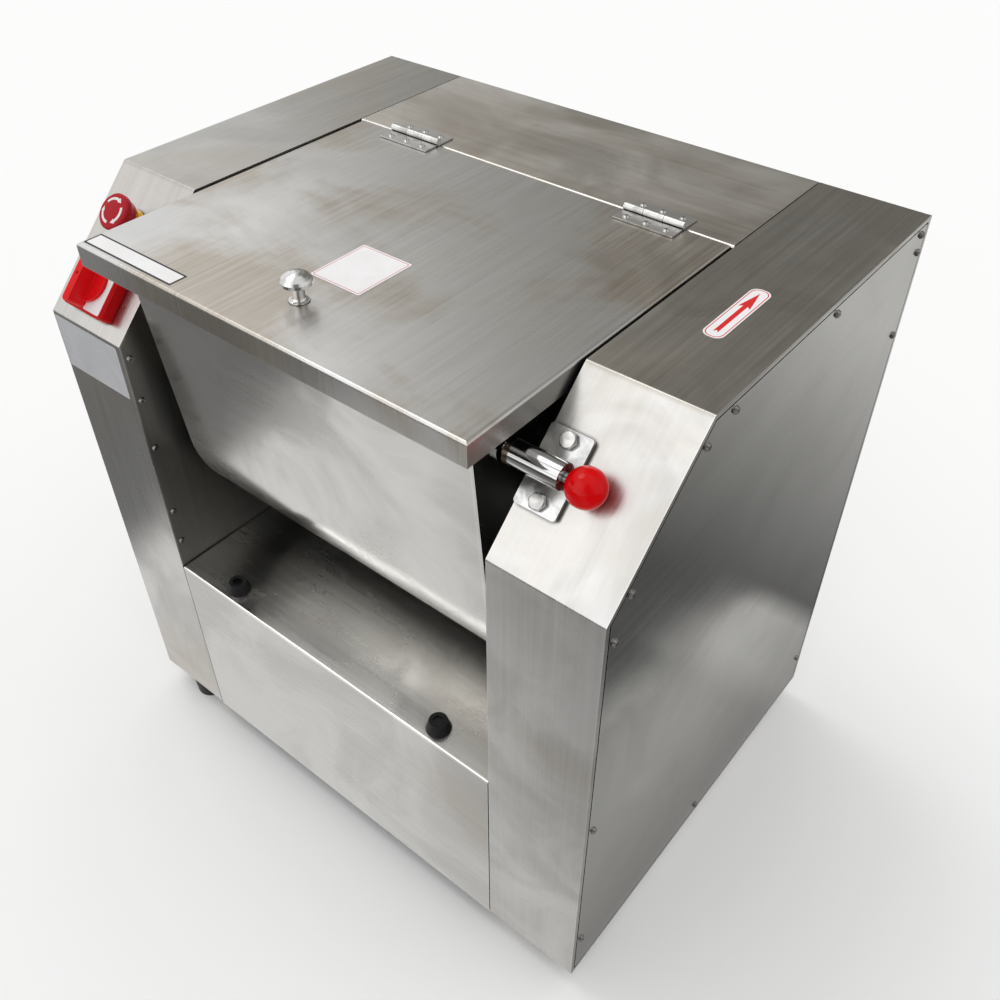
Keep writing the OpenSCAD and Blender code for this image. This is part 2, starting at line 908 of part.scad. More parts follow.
module bowl_trough() {
  x = bowl_x - end_t;
  color("silver") place() {
    along_x(-x, x) difference() {
      bowl_section(0, 0);
      bowl_section(bowl_t, 2 * bowl_t);
    }
    rod_x(-x, x, front_bead().x, front_bead().y, bead_r);
    difference() {
      rod_x(-x, x, rear_bead().x, rear_bead().y, bead_r);
      along_x(-bowl_x, bowl_x) bowl_section(bowl_t, 2 * bowl_t);
    }
  }
}

module bowl_end() {
  difference() {
    along_x(bowl_x - end_t, bowl_x) bowl_section(0, 0);
    rod_x(bowl_x - 2 * end_t, bowl_x + end_t, pivot_y, pivot_z, seal_r + run_gap);
  }
}

seal_r = shaft_r + seal_w;

module bowl_left_end() {
  color("silver") place() mirror([1, 0, 0]) bowl_end();
}

module bowl_right_end() {
  color("silver") place() bowl_end();
}

module bowl_hubs() {
  color("gray") place() both_sides() difference() {
    union() {
      rod_x(bowl_x, bowl_x + hub_flange_t, pivot_y, pivot_z, hub_flange_r);
      rod_x(bowl_x, in_x - hub_gap, pivot_y, pivot_z, hub_boss_r);
    }
    rod_x(bowl_x - cut, in_x, pivot_y, pivot_z, sleeve_r + run_gap);
  }
}

module shaft_seals() {
  color("dimgray") place() both_sides() difference() {
    rod_x(bowl_x - end_t, bowl_x + sleeve_inset - cut, pivot_y, pivot_z, seal_r);
    rod_x(bowl_x - 2 * end_t, bowl_x + sleeve_inset, pivot_y, pivot_z, shaft_r + seal_gap);
  }
}

// Round boss sawn through by a slot that points at the pivot, with the pin's clearance each side
module latch_keeper() {
  slot_half = latch_pin_d / 2 + stop_gap;
  slot_angle = atan2(latch_z - pivot_z, latch_y - pivot_y);
  color("silver") place() difference() {
    rod_x(bowl_x, bowl_x + keeper_h, latch_y, latch_z, keeper_r);
    translate([bowl_x - cut, latch_y, latch_z]) rotate([slot_angle, 0, 0])
      translate([0, -keeper_r - cut, -slot_half])
        cube([keeper_h + 2 * cut, 2 * (keeper_r + cut), 2 * slot_half]);
  }
}

// Bearings

module bearing_hub() {
  sleeve_x = bowl_x + sleeve_inset;
  difference() {
    union() {
      rod_x(sleeve_x, cabinet_x + bearing_boss_l, pivot_y, pivot_z, sleeve_r);
      rod_x(cabinet_x, cabinet_x + bearing_flange_t, pivot_y, pivot_z, bearing_flange_r);
      rod_x(cabinet_x, cabinet_x + bearing_boss_l, pivot_y, pivot_z, bearing_boss_r);
      flange_bolts(
        cabinet_x + bearing_flange_t, pivot_y, pivot_z, bearing_flange_r * bolt_circle_share, 4
      );
    }
    rod_x(sleeve_x - cut, cabinet_x + bearing_boss_l + cut, pivot_y, pivot_z, sleeve_bore_r + run_gap / 2);
  }
}

module left_bearing_hub() {
  color("gray") place() mirror([1, 0, 0]) bearing_hub();
}

module right_bearing_hub() {
  color("gray") place() bearing_hub();
}

bush_end_x = cabinet_x + bearing_boss_l + bush_flange_t;

module shaft_bushes() {
  color("goldenrod") place() both_sides() difference() {
    union() {
      rod_x(bowl_x + sleeve_inset + cut, bush_end_x, pivot_y, pivot_z, sleeve_bore_r);
      rod_x(cabinet_x + bearing_boss_l, bush_end_x, pivot_y, pivot_z, sleeve_bore_r + bush_flange_t);
    }
    rod_x(bowl_x, bush_end_x + cut, pivot_y, pivot_z, shaft_r + run_gap);
  }
}

module counter_cartridge() {
  color("gray") place() difference() {
    union() {
      rod_x(in_x, pulley_x - pulley_gap, counter_y, counter_z, cartridge_r);
      rod_x(cabinet_x, cabinet_x + cartridge_flange_t, counter_y, counter_z, cartridge_flange_r);
      flange_bolts(
        cabinet_x + cartridge_flange_t, counter_y, counter_z,
        cartridge_flange_r * bolt_circle_share, 4
      );
    }
    rod_x(in_x - cut, pulley_x, counter_y, counter_z, counter_d / 2 + run_gap);
  }
}

// Agitator

module mixer_shaft() {
  color("silver") place() {
    rod_x(-bush_end_x - stop_gap - collar_t, gear_x + gear_w + pulley_gap, pivot_y, pivot_z, shaft_r);
    rod_x(-bush_end_x - stop_gap - collar_t, -bush_end_x - stop_gap, pivot_y, pivot_z, collar_r);
    rod_x(bush_end_x + stop_gap, pulley_x, pivot_y, pivot_z, collar_r);
    rod_x(gear_x - pulley_gap, gear_x, pivot_y, pivot_z, collar_r);
  }
}

// End spider: hub ring with two opposite arms at the given angle
module spider(x, angle) {
  rotate_about_x(pivot_y, pivot_z, angle) difference() {
    union() {
      rod_x(x, x + spider_w, pivot_y, pivot_z, spider_hub_r);
      along_x(x, x + spider_w) translate([pivot_y, pivot_z]) {
        square([2 * blade_r - spider_arm_w, spider_arm_w], center = true);
        for (end = [-1, 1])
          translate([end * (blade_r - spider_arm_w / 2), 0]) circle(d = spider_arm_w, $fn = round_n);
      }
    }
    rod_x(x - cut, x + spider_w + cut, pivot_y, pivot_z, shaft_r + run_gap);
  }
}

module agitator_spiders() {
  color("silver") place() {
    spider(-spider_x, -blade_twist / 2);
    spider(spider_x - spider_w, blade_twist / 2);
  }
}

// Two opposite blades that turn about the shaft between the spiders
module agitator_blades() {
  length = 2 * (spider_x - spider_w);
  color("silver") place() translate([-length / 2, pivot_y, pivot_z]) rotate([90, 0, 90])
    linear_extrude(length, twist = -blade_twist, slices = blade_slices)
      rotate(-blade_twist / 2) for (side = [-1, 1])
        translate([side * (blade_r - blade_w / 2), 0]) square([blade_w, blade_t], center = true);
}

// Gears

// Involute function in degrees
function involute(a) = tan(a) * 180 / PI - a;

// Half the angle that a tooth fills at radius r
function half_tooth(r, teeth, pitch_r) = let (
  base_r = pitch_r * cos(pressure_angle),
  half_pitch = (gear_m * PI - backlash) / 4 / pitch_r * 180 / PI
) half_pitch + involute(pressure_angle) - involute(r > base_r ? acos(base_r / r) : 0);

// Outline of a gear whose first tooth points along the first axis
function gear_points(teeth) = let (
  pitch_r = gear_m * teeth / 2,
  tip_r = pitch_r + gear_m * tip_share,
  root_r = pitch_r - gear_m * root_share,
  radii = [for (i = [0:flank_steps]) root_r + (tip_r - root_r) * i / flank_steps]
) [
  for (t = [0:teeth - 1])
    for (side = [-1, 1])
      for (i = [0:flank_steps])
        let (
          r = radii[side < 0 ? i : flank_steps - i],
          a = t * 360 / teeth + side * half_tooth(r, teeth, pitch_r)
        )
        r * [cos(a), sin(a)]
];

module main_gear() {
  rim_r = gear_r - gear_m * root_share - gear_rim;
  web_x = (gear_w - gear_web_t) / 2;
  hole_r = (rim_r + gear_hub_r) / 2;
  color("gray") place() difference() {
    along_x(gear_x, gear_x + gear_w)
      translate([pivot_y, pivot_z]) rotate(counter_angle) polygon(gear_points(gear_teeth));
    for (x = [gear_x - cut, gear_x + gear_w - web_x])
      difference() {
        rod_x(x, x + web_x + cut, pivot_y, pivot_z, rim_r);
        rod_x(x - cut, x + web_x + 2 * cut, pivot_y, pivot_z, gear_hub_r);
      }
    for (i = [0:gear_holes - 1])
      let (a = i * 360 / gear_holes)
      rod_x(
        gear_x, gear_x + gear_w, pivot_y + hole_r * cos(a), pivot_z + hole_r * sin(a), gear_hole_r
      );
    rod_x(gear_x - cut, gear_x + gear_w + cut, pivot_y, pivot_z, shaft_r + run_gap / 2);
  }
}

// Countershaft with the pinion cut on its end
module countershaft() {
  color("gray") place() {
    rod_x(in_x, gear_x + gear_w + pinion_extra, counter_y, counter_z, counter_d / 2);
    along_x(gear_x - pinion_extra, gear_x + gear_w + pinion_extra)
      translate([counter_y, counter_z])
        rotate(counter_angle + 180 + 180 / pinion_teeth) polygon(gear_points(pinion_teeth));
  }
}

// Belt drive

// Half section of a pulley with two grooves, drawn as radius and distance
module pulley_section(pitch_r, bore_r, hub_r, rim, web_t) {
  seat = pitch_r - belt_t / 2 - belt_gap;
  top = pitch_r + pulley_rise;
  difference() {
    rect([bore_r, 0], [top, pulley_w]);
    for (side = [-1, 1])
      translate([0, pulley_w / 2 + side * belt_pitch / 2]) polygon([
        [seat, -belt_w / 2 - belt_gap], [seat, belt_w / 2 + belt_gap],
        [top + cut, belt_w / 2 + groove_lean], [top + cut, -belt_w / 2 - groove_lean]
      ]);
    if (rim > 0)
      for (y = [-cut, (pulley_w + web_t) / 2])
        rect([hub_r, y], [seat - rim, y + (pulley_w - web_t) / 2 + cut]);
  }
}

module large_pulley() {
  hole_r = (pulley_hub_r + big_pulley_r - gear_rim) / 2;
  color("dimgray") place() difference() {
    turned_x(pulley_x, counter_y, counter_z)
      pulley_section(big_pulley_r, counter_d / 2 + run_gap / 2, pulley_hub_r, gear_rim / 2, pulley_web_t);
    for (i = [0:pulley_holes - 1])
      let (a = i * 360 / pulley_holes)
      rod_x(
        pulley_x, pulley_x + pulley_w,
        counter_y + hole_r * cos(a), counter_z + hole_r * sin(a), pulley_hole_r
      );
  }
}

module small_pulley() {
  color("dimgray") place() turned_x(pulley_x, motor_y, motor_z)
    pulley_section(small_pulley_r, motor_shaft_d / 2 + run_gap / 2, 0, 0, 0);
}

// Outline of a belt round two circles
module belt_outline(a, ra, b, rb) {
  along = atan2(b.y - a.y, b.x - a.x);
  lean = acos((ra - rb) / norm(b - a));
  up = [cos(along + lean), sin(along + lean)];
  down = [cos(along - lean), sin(along - lean)];
  polygon([a + ra * up, a + ra * down, b + rb * down, b + rb * up]);
  translate(a) circle(r = ra + lap, $fn = 2 * round_n);
  translate(b) circle(r = rb + lap, $fn = 2 * round_n);
}

module v_belts() {
  a = [motor_y, motor_z];
  b = [counter_y, counter_z];
  half = belt_t / 2;
  color("black") place() for (side = [-1, 1])
    let (x = pulley_x + pulley_w / 2 + side * belt_pitch / 2)
    along_x(x - belt_w / 2, x + belt_w / 2) difference() {
      belt_outline(a, small_pulley_r + half, b, big_pulley_r + half);
      belt_outline(a, small_pulley_r - half, b, big_pulley_r - half);
    }
}

// Motor

motor_x = in_x - motor_gap - motor_l;

function motor_foot_places() = [
  motor_x + shield_l + motor_foot_w / 2, motor_x + motor_l - shield_l - motor_foot_w / 2
];

module motor_body() {
  color("steelblue") place() difference() {
    union() {
      rod_x(motor_x, motor_x + shield_l, motor_y, motor_z, motor_r);
      rod_x(motor_x + motor_l - shield_l, motor_x + motor_l, motor_y, motor_z, motor_r);
      rod_x(motor_x, motor_x + motor_l, motor_y, motor_z, motor_r - fin_h);
      for (i = [0:motor_fins - 1])
        rotate_about_x(motor_y, motor_z, 360 / motor_fins * (i + 0.5))
          translate([motor_x + shield_l, motor_y + motor_r - 2 * fin_h, motor_z - fin_t / 2])
            cube([motor_l - 2 * shield_l, 2 * fin_h - cut, fin_t]);
      for (x = motor_foot_places())
        difference() {
          translate([x - motor_foot_w / 2, motor_y - motor_r, motor_base_z])
            cube([motor_foot_w, 2 * motor_r, motor_axis_h / 2]);
          translate([x - motor_foot_w, motor_y - motor_r / 2, motor_base_z - cut])
            cube([2 * motor_foot_w, motor_r, motor_foot_t + cut]);
          for (side = [-1, 1])
            translate([
              x - motor_foot_w, motor_y + side * motor_r - (side > 0 ? bolt_flats : 0),
              motor_base_z + motor_foot_t
            ]) cube([2 * motor_foot_w, bolt_flats, motor_axis_h]);
        }
      translate([
        motor_x + (motor_l - terminal_w) / 2, motor_y - terminal_w / 2, motor_z + motor_r - 2 * fin_h
      ]) cube([terminal_w, terminal_w, terminal_h]);
    }
    rod_x(motor_x - cut, motor_x + motor_l + cut, motor_y, motor_z, motor_shaft_d / 2 + run_gap);
  }
}

module motor_fan_cover() {
  x0 = motor_x - fan_cover_l;
  color("steelblue") place() difference() {
    rod_x(x0, motor_x, motor_y, motor_z, motor_r);
    rod_x(x0 + fan_cover_t, motor_x + cut, motor_y, motor_z, motor_r - fan_cover_t);
    for (ring = [1, 2])
      for (i = [0:6 * ring - 1])
        let (a = i * 60 / ring, r = ring * motor_r / 3)
        rod_x(
          x0 - cut, x0 + fan_cover_t + cut, motor_y + r * cos(a), motor_z + r * sin(a), fin_h
        );
  }
}

// Rotor shaft with its fan
module motor_shaft() {
  fan_x = motor_x - fan_cover_l + 3 * fan_cover_t;
  fan_l = fan_cover_l - 6 * fan_cover_t;
  color("gray") place() {
    rod_x(fan_x, pulley_x + pulley_w + pulley_gap, motor_y, motor_z, motor_shaft_d / 2);
    rod_x(fan_x + fan_l - fan_cover_t, fan_x + fan_l, motor_y, motor_z, fan_r);
    for (i = [0:fan_blades - 1])
      rotate_about_x(motor_y, motor_z, 360 / fan_blades * i)
        translate([fan_x + cut, motor_y + motor_shaft_d / 4, motor_z - fan_cover_t / 2])
          cube([fan_l - 2 * cut, fan_r - cut - motor_shaft_d / 4, fan_cover_t]);
  }
}

// Bowl latch

module latch_bolt_places() {
  for (side = [-1, 1])
    on_slope(latch_x + latch_w / 2 + latch_lead * 2, latch_along + side * latch_bolt_span / 2) children();
}

module latch_plate() {
  pts = [
    [0, -latch_l / 2], [latch_w, -latch_l / 2], [latch_w, latch_l / 2], [0, latch_l / 2]
  ];
  color("gray") place() difference() {
    union() {
      on_slope(latch_x, latch_along) linear_extrude(latch_plate_t) rounded(pts, 2 * sheet);
      on_slope(latch_x, latch_along) translate([sheet, -plunger_d / 3, 0])
        cube([latch_w - 2 * sheet, plunger_d * 2 / 3, latch_plate_t + plunger_d / 4]);
    }
    rod_x(latch_x - cut, latch_x + latch_w + cut, latch_y, latch_z, plunger_d / 2 + run_gap);
    latch_bolt_places() cylinder(h = 4 * latch_plate_t, r = bolt_r + run_gap, center = true, $fn = round_n);
  }
}

module latch_bolts() {
  color("silver") place() latch_bolt_places() {
    translate([0, 0, latch_plate_t]) hex_head(bolt_flats, bolt_head_h);
    translate([0, 0, -sheet - nut_h])
      cylinder(h = sheet + nut_h + latch_plate_t, r = bolt_r, $fn = round_n);
    translate([0, 0, -sheet - nut_h]) linear_extrude(nut_h) hexagon(bolt_flats);
  }
}

module latch_housing() {
  color("silver") place() difference() {
    rod_x(plunger_x, plunger_end_x, latch_y, latch_z, plunger_d / 2);
    rod_x(plunger_x - cut, plunger_end_x - plunger_cap_l, latch_y, latch_z, latch_pin_d / 2 + run_gap);
    rod_x(
      plunger_x + plunger_nose_l, plunger_end_x - plunger_cap_l, latch_y, latch_z, plunger_chamber_r
    );
    rod_x(plunger_x, plunger_end_x + cut, latch_y, latch_z, stem_r + run_gap);
  }
}

module latch_ring() {
  color("black") place() difference() {
    rod_x(plunger_x - latch_ring_t, plunger_x, latch_y, latch_z, latch_ring_r);
    rod_x(plunger_x - 2 * latch_ring_t, plunger_x + cut, latch_y, latch_z, latch_pin_d / 2 + run_gap);
  }
}

// Points of a ring of the spring's wire at turn a
function wire_ring(a, mid_r, pitch) = [
  for (i = [0:spring_sides - 1])
    let (b = i * 360 / spring_sides, r = mid_r + spring_wire_r * cos(b))
    [pitch * a / 360 + spring_wire_r * sin(b), r * cos(a), r * sin(a)]
];

module latch_spring() {
  mid_r = (stem_r + plunger_chamber_r) / 2;
  start = pin_collar_x + pin_collar_t + spring_wire_r + fit_gap;
  end = plunger_end_x - plunger_cap_l - spring_wire_r - fit_gap;
  count = spring_coils * spring_steps;
  n = spring_sides;
  points = [
    for (k = [0:count]) each wire_ring(k * 360 / spring_steps, mid_r, (end - start) / spring_coils)
  ];
  faces = concat(
    [[for (i = [0:n - 1]) i]],
    [[for (i = [0:n - 1]) count * n + n - 1 - i]],
    [for (k = [0:count - 1]) for (i = [0:n - 1]) let (j = (i + 1) % n)
      each [[k * n + i, (k + 1) * n + i, k * n + j], [k * n + j, (k + 1) * n + i, (k + 1) * n + j]]]
  );
  color("gray") place() translate([start, latch_y, latch_z]) polyhedron(points, faces);
}

module latch_pin() {
  color("silver") place() {
    rod_x(pin_tip_x, pin_collar_x + pin_collar_t, latch_y, latch_z, latch_pin_d / 2);
    rod_x(pin_collar_x, pin_collar_x + pin_collar_t, latch_y, latch_z, pin_collar_r);
    rod_x(pin_collar_x, ball_x - ball_d / 2 + ball_socket, latch_y, latch_z, stem_r);
  }
}

module latch_ball() {
  color("red") place() difference() {
    translate([ball_x, latch_y, latch_z]) rotate([0, 90, 0]) rotate_extrude($fn = 2 * round_n)
      intersection() {
        circle(d = ball_d, $fn = 2 * round_n);
        rect([0, -ball_d], [ball_d, ball_d]);
      }
    rod_x(ball_x - ball_d, ball_x - ball_d / 2 + ball_socket, latch_y, latch_z, stem_r + run_gap / 2);
  }
}

// Emergency stop

module estop_ring() {
  color("black") place() on_slope(-control_x, estop_along) difference() {
    cylinder(h = estop_ring_h, r = estop_ring_r, $fn = round_n);
    translate([0, 0, -cut]) cylinder(h = estop_ring_h + 2 * cut, r = barrel_r + run_gap, $fn = round_n);
  }
}

module estop_collar() {
  color("gold") place() on_slope(-control_x, estop_along) difference() {
    union() {
      translate([0, 0, estop_ring_h])
        cylinder(h = estop_collar_h - estop_ring_h, r = estop_collar_r, $fn = round_n);
      translate([0, 0, -barrel_l]) cylinder(h = barrel_l + estop_collar_h, r = barrel_r, $fn = round_n);
    }
    translate([0, 0, -contact_h])
      cylinder(h = 2 * contact_h, r = estop_stem_r + run_gap, $fn = round_n);
  }
}

estop_head_z = estop_collar_h + estop_press + stop_gap;

module estop_stem() {
  color("gold") place() on_slope(-control_x, estop_along) {
    translate([0, 0, -2 * sheet])
      cylinder(h = estop_head_z + 2 * sheet - run_gap, r = estop_stem_r, $fn = round_n);
    cylinder(h = estop_head_z + estop_spigot_l, r = estop_spigot_r, $fn = round_n);
  }
}

module estop_head() {
  r = estop_d / 2;
  rim_z = estop_head_h - estop_rim_h - 2 * estop_dome;
  profile = [
    [0, 0], [estop_neck_r, 0], [estop_neck_r + cut, rim_z / 2], [r, rim_z], [r, rim_z + estop_rim_h],
    [r - estop_dome, estop_head_h - estop_dome], [r / 2, estop_head_h - estop_dome / 3], [0, estop_head_h]
  ];
  color("red") place() on_slope(-control_x, estop_along) translate([0, 0, estop_head_z]) difference() {
    rotate_extrude($fn = round_n) polygon(profile);
    translate([0, 0, -cut])
      cylinder(h = estop_spigot_l + cut + run_gap, r = estop_spigot_r + run_gap, $fn = round_n);
    for (i = [0:knurls - 1])
      rotate(i * 360 / knurls) translate([r + knurl_r / 2, 0, rim_z - cut])
        cylinder(h = estop_rim_h + 2 * cut, r = knurl_r, $fn = round_n / 2);
  }
}

// Contact blocks behind the left slope
module contact_blocks() {
  color("dimgray") place() {
    on_slope(-control_x, estop_along) {
      translate([-contact_w / 2, -contact_w / 3, -contact_h - barrel_l])
        cube([contact_w, contact_w * 2 / 3, contact_h]);
      translate([0, 0, -sheet - nut_h]) difference() {
        linear_extrude(nut_h) hexagon(3 * barrel_r);
        translate([0, 0, -cut]) cylinder(h = nut_h + 2 * cut, r = barrel_r + run_gap, $fn = round_n);
      }
    }
    on_slope(-control_x, switch_along) difference() {
      translate([-switch_w * 3 / 8, -switch_w * 3 / 8, -switch_block_h - sheet])
        cube([switch_w * 3 / 4, switch_w * 3 / 4, switch_block_h]);
      translate([0, 0, -switch_block_h / 2])
        cylinder(h = switch_block_h, r = switch_shaft_r + run_gap, $fn = round_n);
    }
  }
}

// Rotary switch

// Square outline with a bevel at its two upper corners
function bevelled(w, h, b) = [
  [-w / 2, 0], [w / 2, 0], [w / 2, h - b], [w / 2 - b, h], [b - w / 2, h], [-w / 2, h - b]
];

module switch_housing() {
  half = switch_w / 2;
  square_pts = [[-half, -half], [half, -half], [half, half], [-half, half]];
  color("red") place() on_slope(-control_x, switch_along) difference() {
    intersection() {
      linear_extrude(switch_h) rounded(square_pts, switch_corner_r);
      along_x(-half, half) polygon(bevelled(switch_w, switch_h, switch_bevel));
      along_y(-half, half) polygon(bevelled(switch_w, switch_h, switch_bevel));
    }
    translate([0, 0, -cut]) cylinder(h = switch_h + 2 * cut, r = switch_shaft_r + run_gap, $fn = round_n);
  }
}

module switch_knob() {
  color("red") place() on_slope(-control_x, switch_along) {
    translate([0, 0, switch_h + stop_gap]) {
      cylinder(h = dial_h, r = dial_r, $fn = 2 * round_n);
      difference() {
        linear_extrude(grip_h) {
          square([grip_w, grip_l - grip_w], center = true);
          for (end = [-1, 1])
            translate([0, end * (grip_l - grip_w) / 2]) circle(d = grip_w, $fn = round_n);
        }
        translate([0, grip_w / 4, grip_h - dial_h]) cylinder(h = 2 * dial_h, r = grip_w / 5, $fn = round_n);
      }
    }
    translate([0, 0, -switch_block_h / 3])
      cylinder(h = switch_block_h / 3 + switch_h + 2 * stop_gap, r = switch_shaft_r, $fn = round_n);
  }
}

// Electrics

module contactor() {
  size = contactor_size;
  x = -cabinet_x - rail_t;
  color("dimgray") place() {
    translate([x, contactor_y - rail_l / 2, contactor_z - rail_h / 2]) cube([rail_t, rail_l, rail_h]);
    translate([x - size.x, contactor_y - size.y / 2, contactor_z - size.z / 2]) cube(size);
    for (end = [-1, 1])
      translate([x - size.x * 2 / 3, contactor_y - size.y / 2, contactor_z + end * size.z * 0.6 - rail_t])
        cube([size.x * 2 / 3, size.y, 2 * rail_t]);
  }
}

module cable_gland() {
  color("black") place() translate([-gland_x, body_d, gland_z]) rotate([-90, 0, 0]) difference() {
    union() {
      linear_extrude(gland_l * 0.3) hexagon(gland_hex);
      cylinder(h = gland_l, r1 = gland_hex / 2, r2 = gland_r * 0.8, $fn = round_n);
      translate([0, 0, -sheet - nut_h]) cylinder(h = sheet + nut_h, r = gland_r, $fn = round_n);
      translate([0, 0, -sheet - nut_h]) linear_extrude(nut_h) hexagon(gland_hex);
    }
    translate([0, 0, -sheet - nut_h - cut])
      cylinder(h = gland_l + sheet + nut_h + 2 * cut, r = gland_r / 2, $fn = round_n);
  }
}

left_cabinet_shell();
right_cabinet_shell();
left_side_plate();
right_side_plate();
left_frame_plate();
right_frame_plate();
pan_screws();
front_panel();
bumpers();
bumper_screws();
rear_cover();
bay_wall();
cross_beams();
motor_plate();
feet();
hinge_body_leaves();
hinge_pins();
hinge_body_rivets();
latch_plate();
latch_bolts();
latch_housing();
latch_ring();
latch_spring();
estop_ring();
estop_collar();
contact_blocks();
switch_housing();
left_bearing_hub();
right_bearing_hub();
shaft_bushes();
counter_cartridge();
v_belts();
motor_body();
motor_fan_cover();
contactor();
cable_gland();
lid_panel();
lid_knob();
hinge_lid_leaves();
hinge_lid_rivets();
bowl_trough();
bowl_left_end();
bowl_right_end();
bowl_hubs();
latch_keeper();
shaft_seals();
mixer_shaft();
agitator_spiders();
agitator_blades();
main_gear();
countershaft();
large_pulley();
motor_shaft();
small_pulley();
latch_pin();
latch_ball();
estop_stem();
estop_head();
switch_knob();
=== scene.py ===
import math

import bmesh
import bpy
from mathutils import Matrix, Vector


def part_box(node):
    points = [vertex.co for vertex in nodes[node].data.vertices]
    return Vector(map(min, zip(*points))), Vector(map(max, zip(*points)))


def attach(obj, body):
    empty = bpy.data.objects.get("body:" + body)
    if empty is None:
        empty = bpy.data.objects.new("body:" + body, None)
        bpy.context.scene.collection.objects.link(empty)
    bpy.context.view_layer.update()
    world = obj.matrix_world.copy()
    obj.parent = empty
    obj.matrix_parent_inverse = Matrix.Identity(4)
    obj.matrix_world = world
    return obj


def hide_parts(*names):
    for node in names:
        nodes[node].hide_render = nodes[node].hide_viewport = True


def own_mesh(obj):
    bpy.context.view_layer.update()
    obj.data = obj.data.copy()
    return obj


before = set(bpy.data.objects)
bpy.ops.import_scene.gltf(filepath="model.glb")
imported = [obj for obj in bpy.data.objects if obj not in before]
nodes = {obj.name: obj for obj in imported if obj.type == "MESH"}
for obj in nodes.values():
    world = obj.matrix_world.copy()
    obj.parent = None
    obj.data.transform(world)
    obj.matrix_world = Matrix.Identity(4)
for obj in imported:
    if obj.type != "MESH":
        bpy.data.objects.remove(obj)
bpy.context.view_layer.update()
print("frame loaded:", len(nodes), "nodes")

millimetre = 0.001


# Node helpers

def connect(tree, item, socket):
    # A socket takes a link from another socket, or else a plain value
    if isinstance(item, bpy.types.NodeSocket):
        tree.links.new(item, socket)
    else:
        socket.default_value = item


def addNode(tree, kind, values=None, **settings):
    node = tree.nodes.new(kind)
    for key, value in settings.items():
        setattr(node, key, value)
    for key, value in (values or {}).items():
        connect(tree, value, node.inputs[key])
    return node


def startGroup(name, inputs, outputs):
    tree = bpy.data.node_groups.new(name, "ShaderNodeTree")
    for label, kind, value in inputs:
        kind = "NodeSocket" + kind
        socket = tree.interface.new_socket(name=label, in_out="INPUT", socket_type=kind)
        socket.default_value = value
    for label, kind in outputs:
        tree.interface.new_socket(name=label, in_out="OUTPUT", socket_type="NodeSocket" + kind)
    return tree, tree.nodes.new("NodeGroupInput").outputs, tree.nodes.new("NodeGroupOutput").inputs


def placeGroup(tree, group, values):
    return addNode(tree, "ShaderNodeGroup", values, node_tree=group).outputs


def mapRange(tree, value, low, high, toLow=0.0, toHigh=1.0, smooth=False):
    values = {"Value": value, "From Min": low, "From Max": high, "To Min": toLow, "To Max": toHigh}
    kind = "SMOOTHSTEP" if smooth else "LINEAR"
    return addNode(tree, "ShaderNodeMapRange", values, interpolation_type=kind).outputs["Result"]


def maths(tree, kind, a, b=0.0):
    return addNode(tree, "ShaderNodeMath", {0: a, 1: b}, operation=kind).outputs[0]


def mixColour(tree, amount, a, b, blend="MIX"):
    # The node's sockets 0, 6 and 7 are its factor and two colours, and its output 2 is the mix
    a, b = ((*item, 1.0) if isinstance(item, tuple) else item for item in (a, b))
    node = addNode(tree, "ShaderNodeMix", {0: amount, 6: a, 7: b}, data_type="RGBA",
                   blend_type=blend)
    return node.outputs[2]


def fade(tree, amount, a, b):
    # The value a where the amount is 0, and b where it is 1
    rest = maths(tree, "SUBTRACT", 1.0, amount)
    return maths(tree, "ADD", maths(tree, "MULTIPLY", a, rest), maths(tree, "MULTIPLY", b, amount))


def aroundMiddle(tree, value, middle, spread, smooth=False):
    # 0 below the middle by the spread, 1 above it by as much
    low = maths(tree, "SUBTRACT", middle, spread)
    high = maths(tree, "ADD", middle, spread)
    return mapRange(tree, value, low, high, smooth=smooth)


# Long thin streaks, stretched along the direction of the brushing
streakNoise = {"scale": 1.0, "detail": 2.0, "roughness": 0.6, "middle": 0.5, "fineScale": 1.3,
               "fineDetail": 1.0}
grainLines, entry, result = startGroup(
    "grainLines",
    [("Vector", "Vector", (0, 0, 0)), ("Stretch", "Vector", (300, 6, 6)),
     ("Contrast", "Float", 0.2)],
    [("Streaks", "Float"), ("Fine", "Float")])
stretched = addNode(grainLines, "ShaderNodeVectorMath", {0: entry["Vector"], 1: entry["Stretch"]},
                    operation="MULTIPLY").outputs[0]
noise = addNode(grainLines, "ShaderNodeTexNoise", {
    "Vector": stretched, "Scale": streakNoise["scale"], "Detail": streakNoise["detail"],
    "Roughness": streakNoise["roughness"]})
finer = addNode(grainLines, "ShaderNodeTexNoise", {
    "Vector": stretched, "Scale": streakNoise["fineScale"], "Detail": streakNoise["fineDetail"]})
streaks = aroundMiddle(grainLines, noise.outputs["Fac"], streakNoise["middle"], entry["Contrast"])
grainLines.links.new(streaks, result["Streaks"])
grainLines.links.new(finer.outputs["Fac"], result["Fine"])

# Cloudy patches such as wiped grease or heat tint
cloudNoise = {"detail": 6.0, "roughness": 0.55}
cloudPatches, entry, result = startGroup(
    "cloudPatches",
    [("Vector", "Vector", (0, 0, 0)), ("Scale", "Float", 5.0), ("Spread", "Float", 0.1),
     ("Middle", "Float", 0.52), ("Swirl", "Float", 0.8)],
    [("Mask", "Float")])
noise = addNode(cloudPatches, "ShaderNodeTexNoise", {
    "Vector": entry["Vector"], "Scale": entry["Scale"], "Detail": cloudNoise["detail"],
    "Roughness": cloudNoise["roughness"], "Distortion": entry["Swirl"]})
clouds = aroundMiddle(cloudPatches, noise.outputs["Fac"], entry["Middle"], entry["Spread"],
                      smooth=True)
cloudPatches.links.new(clouds, result["Mask"])

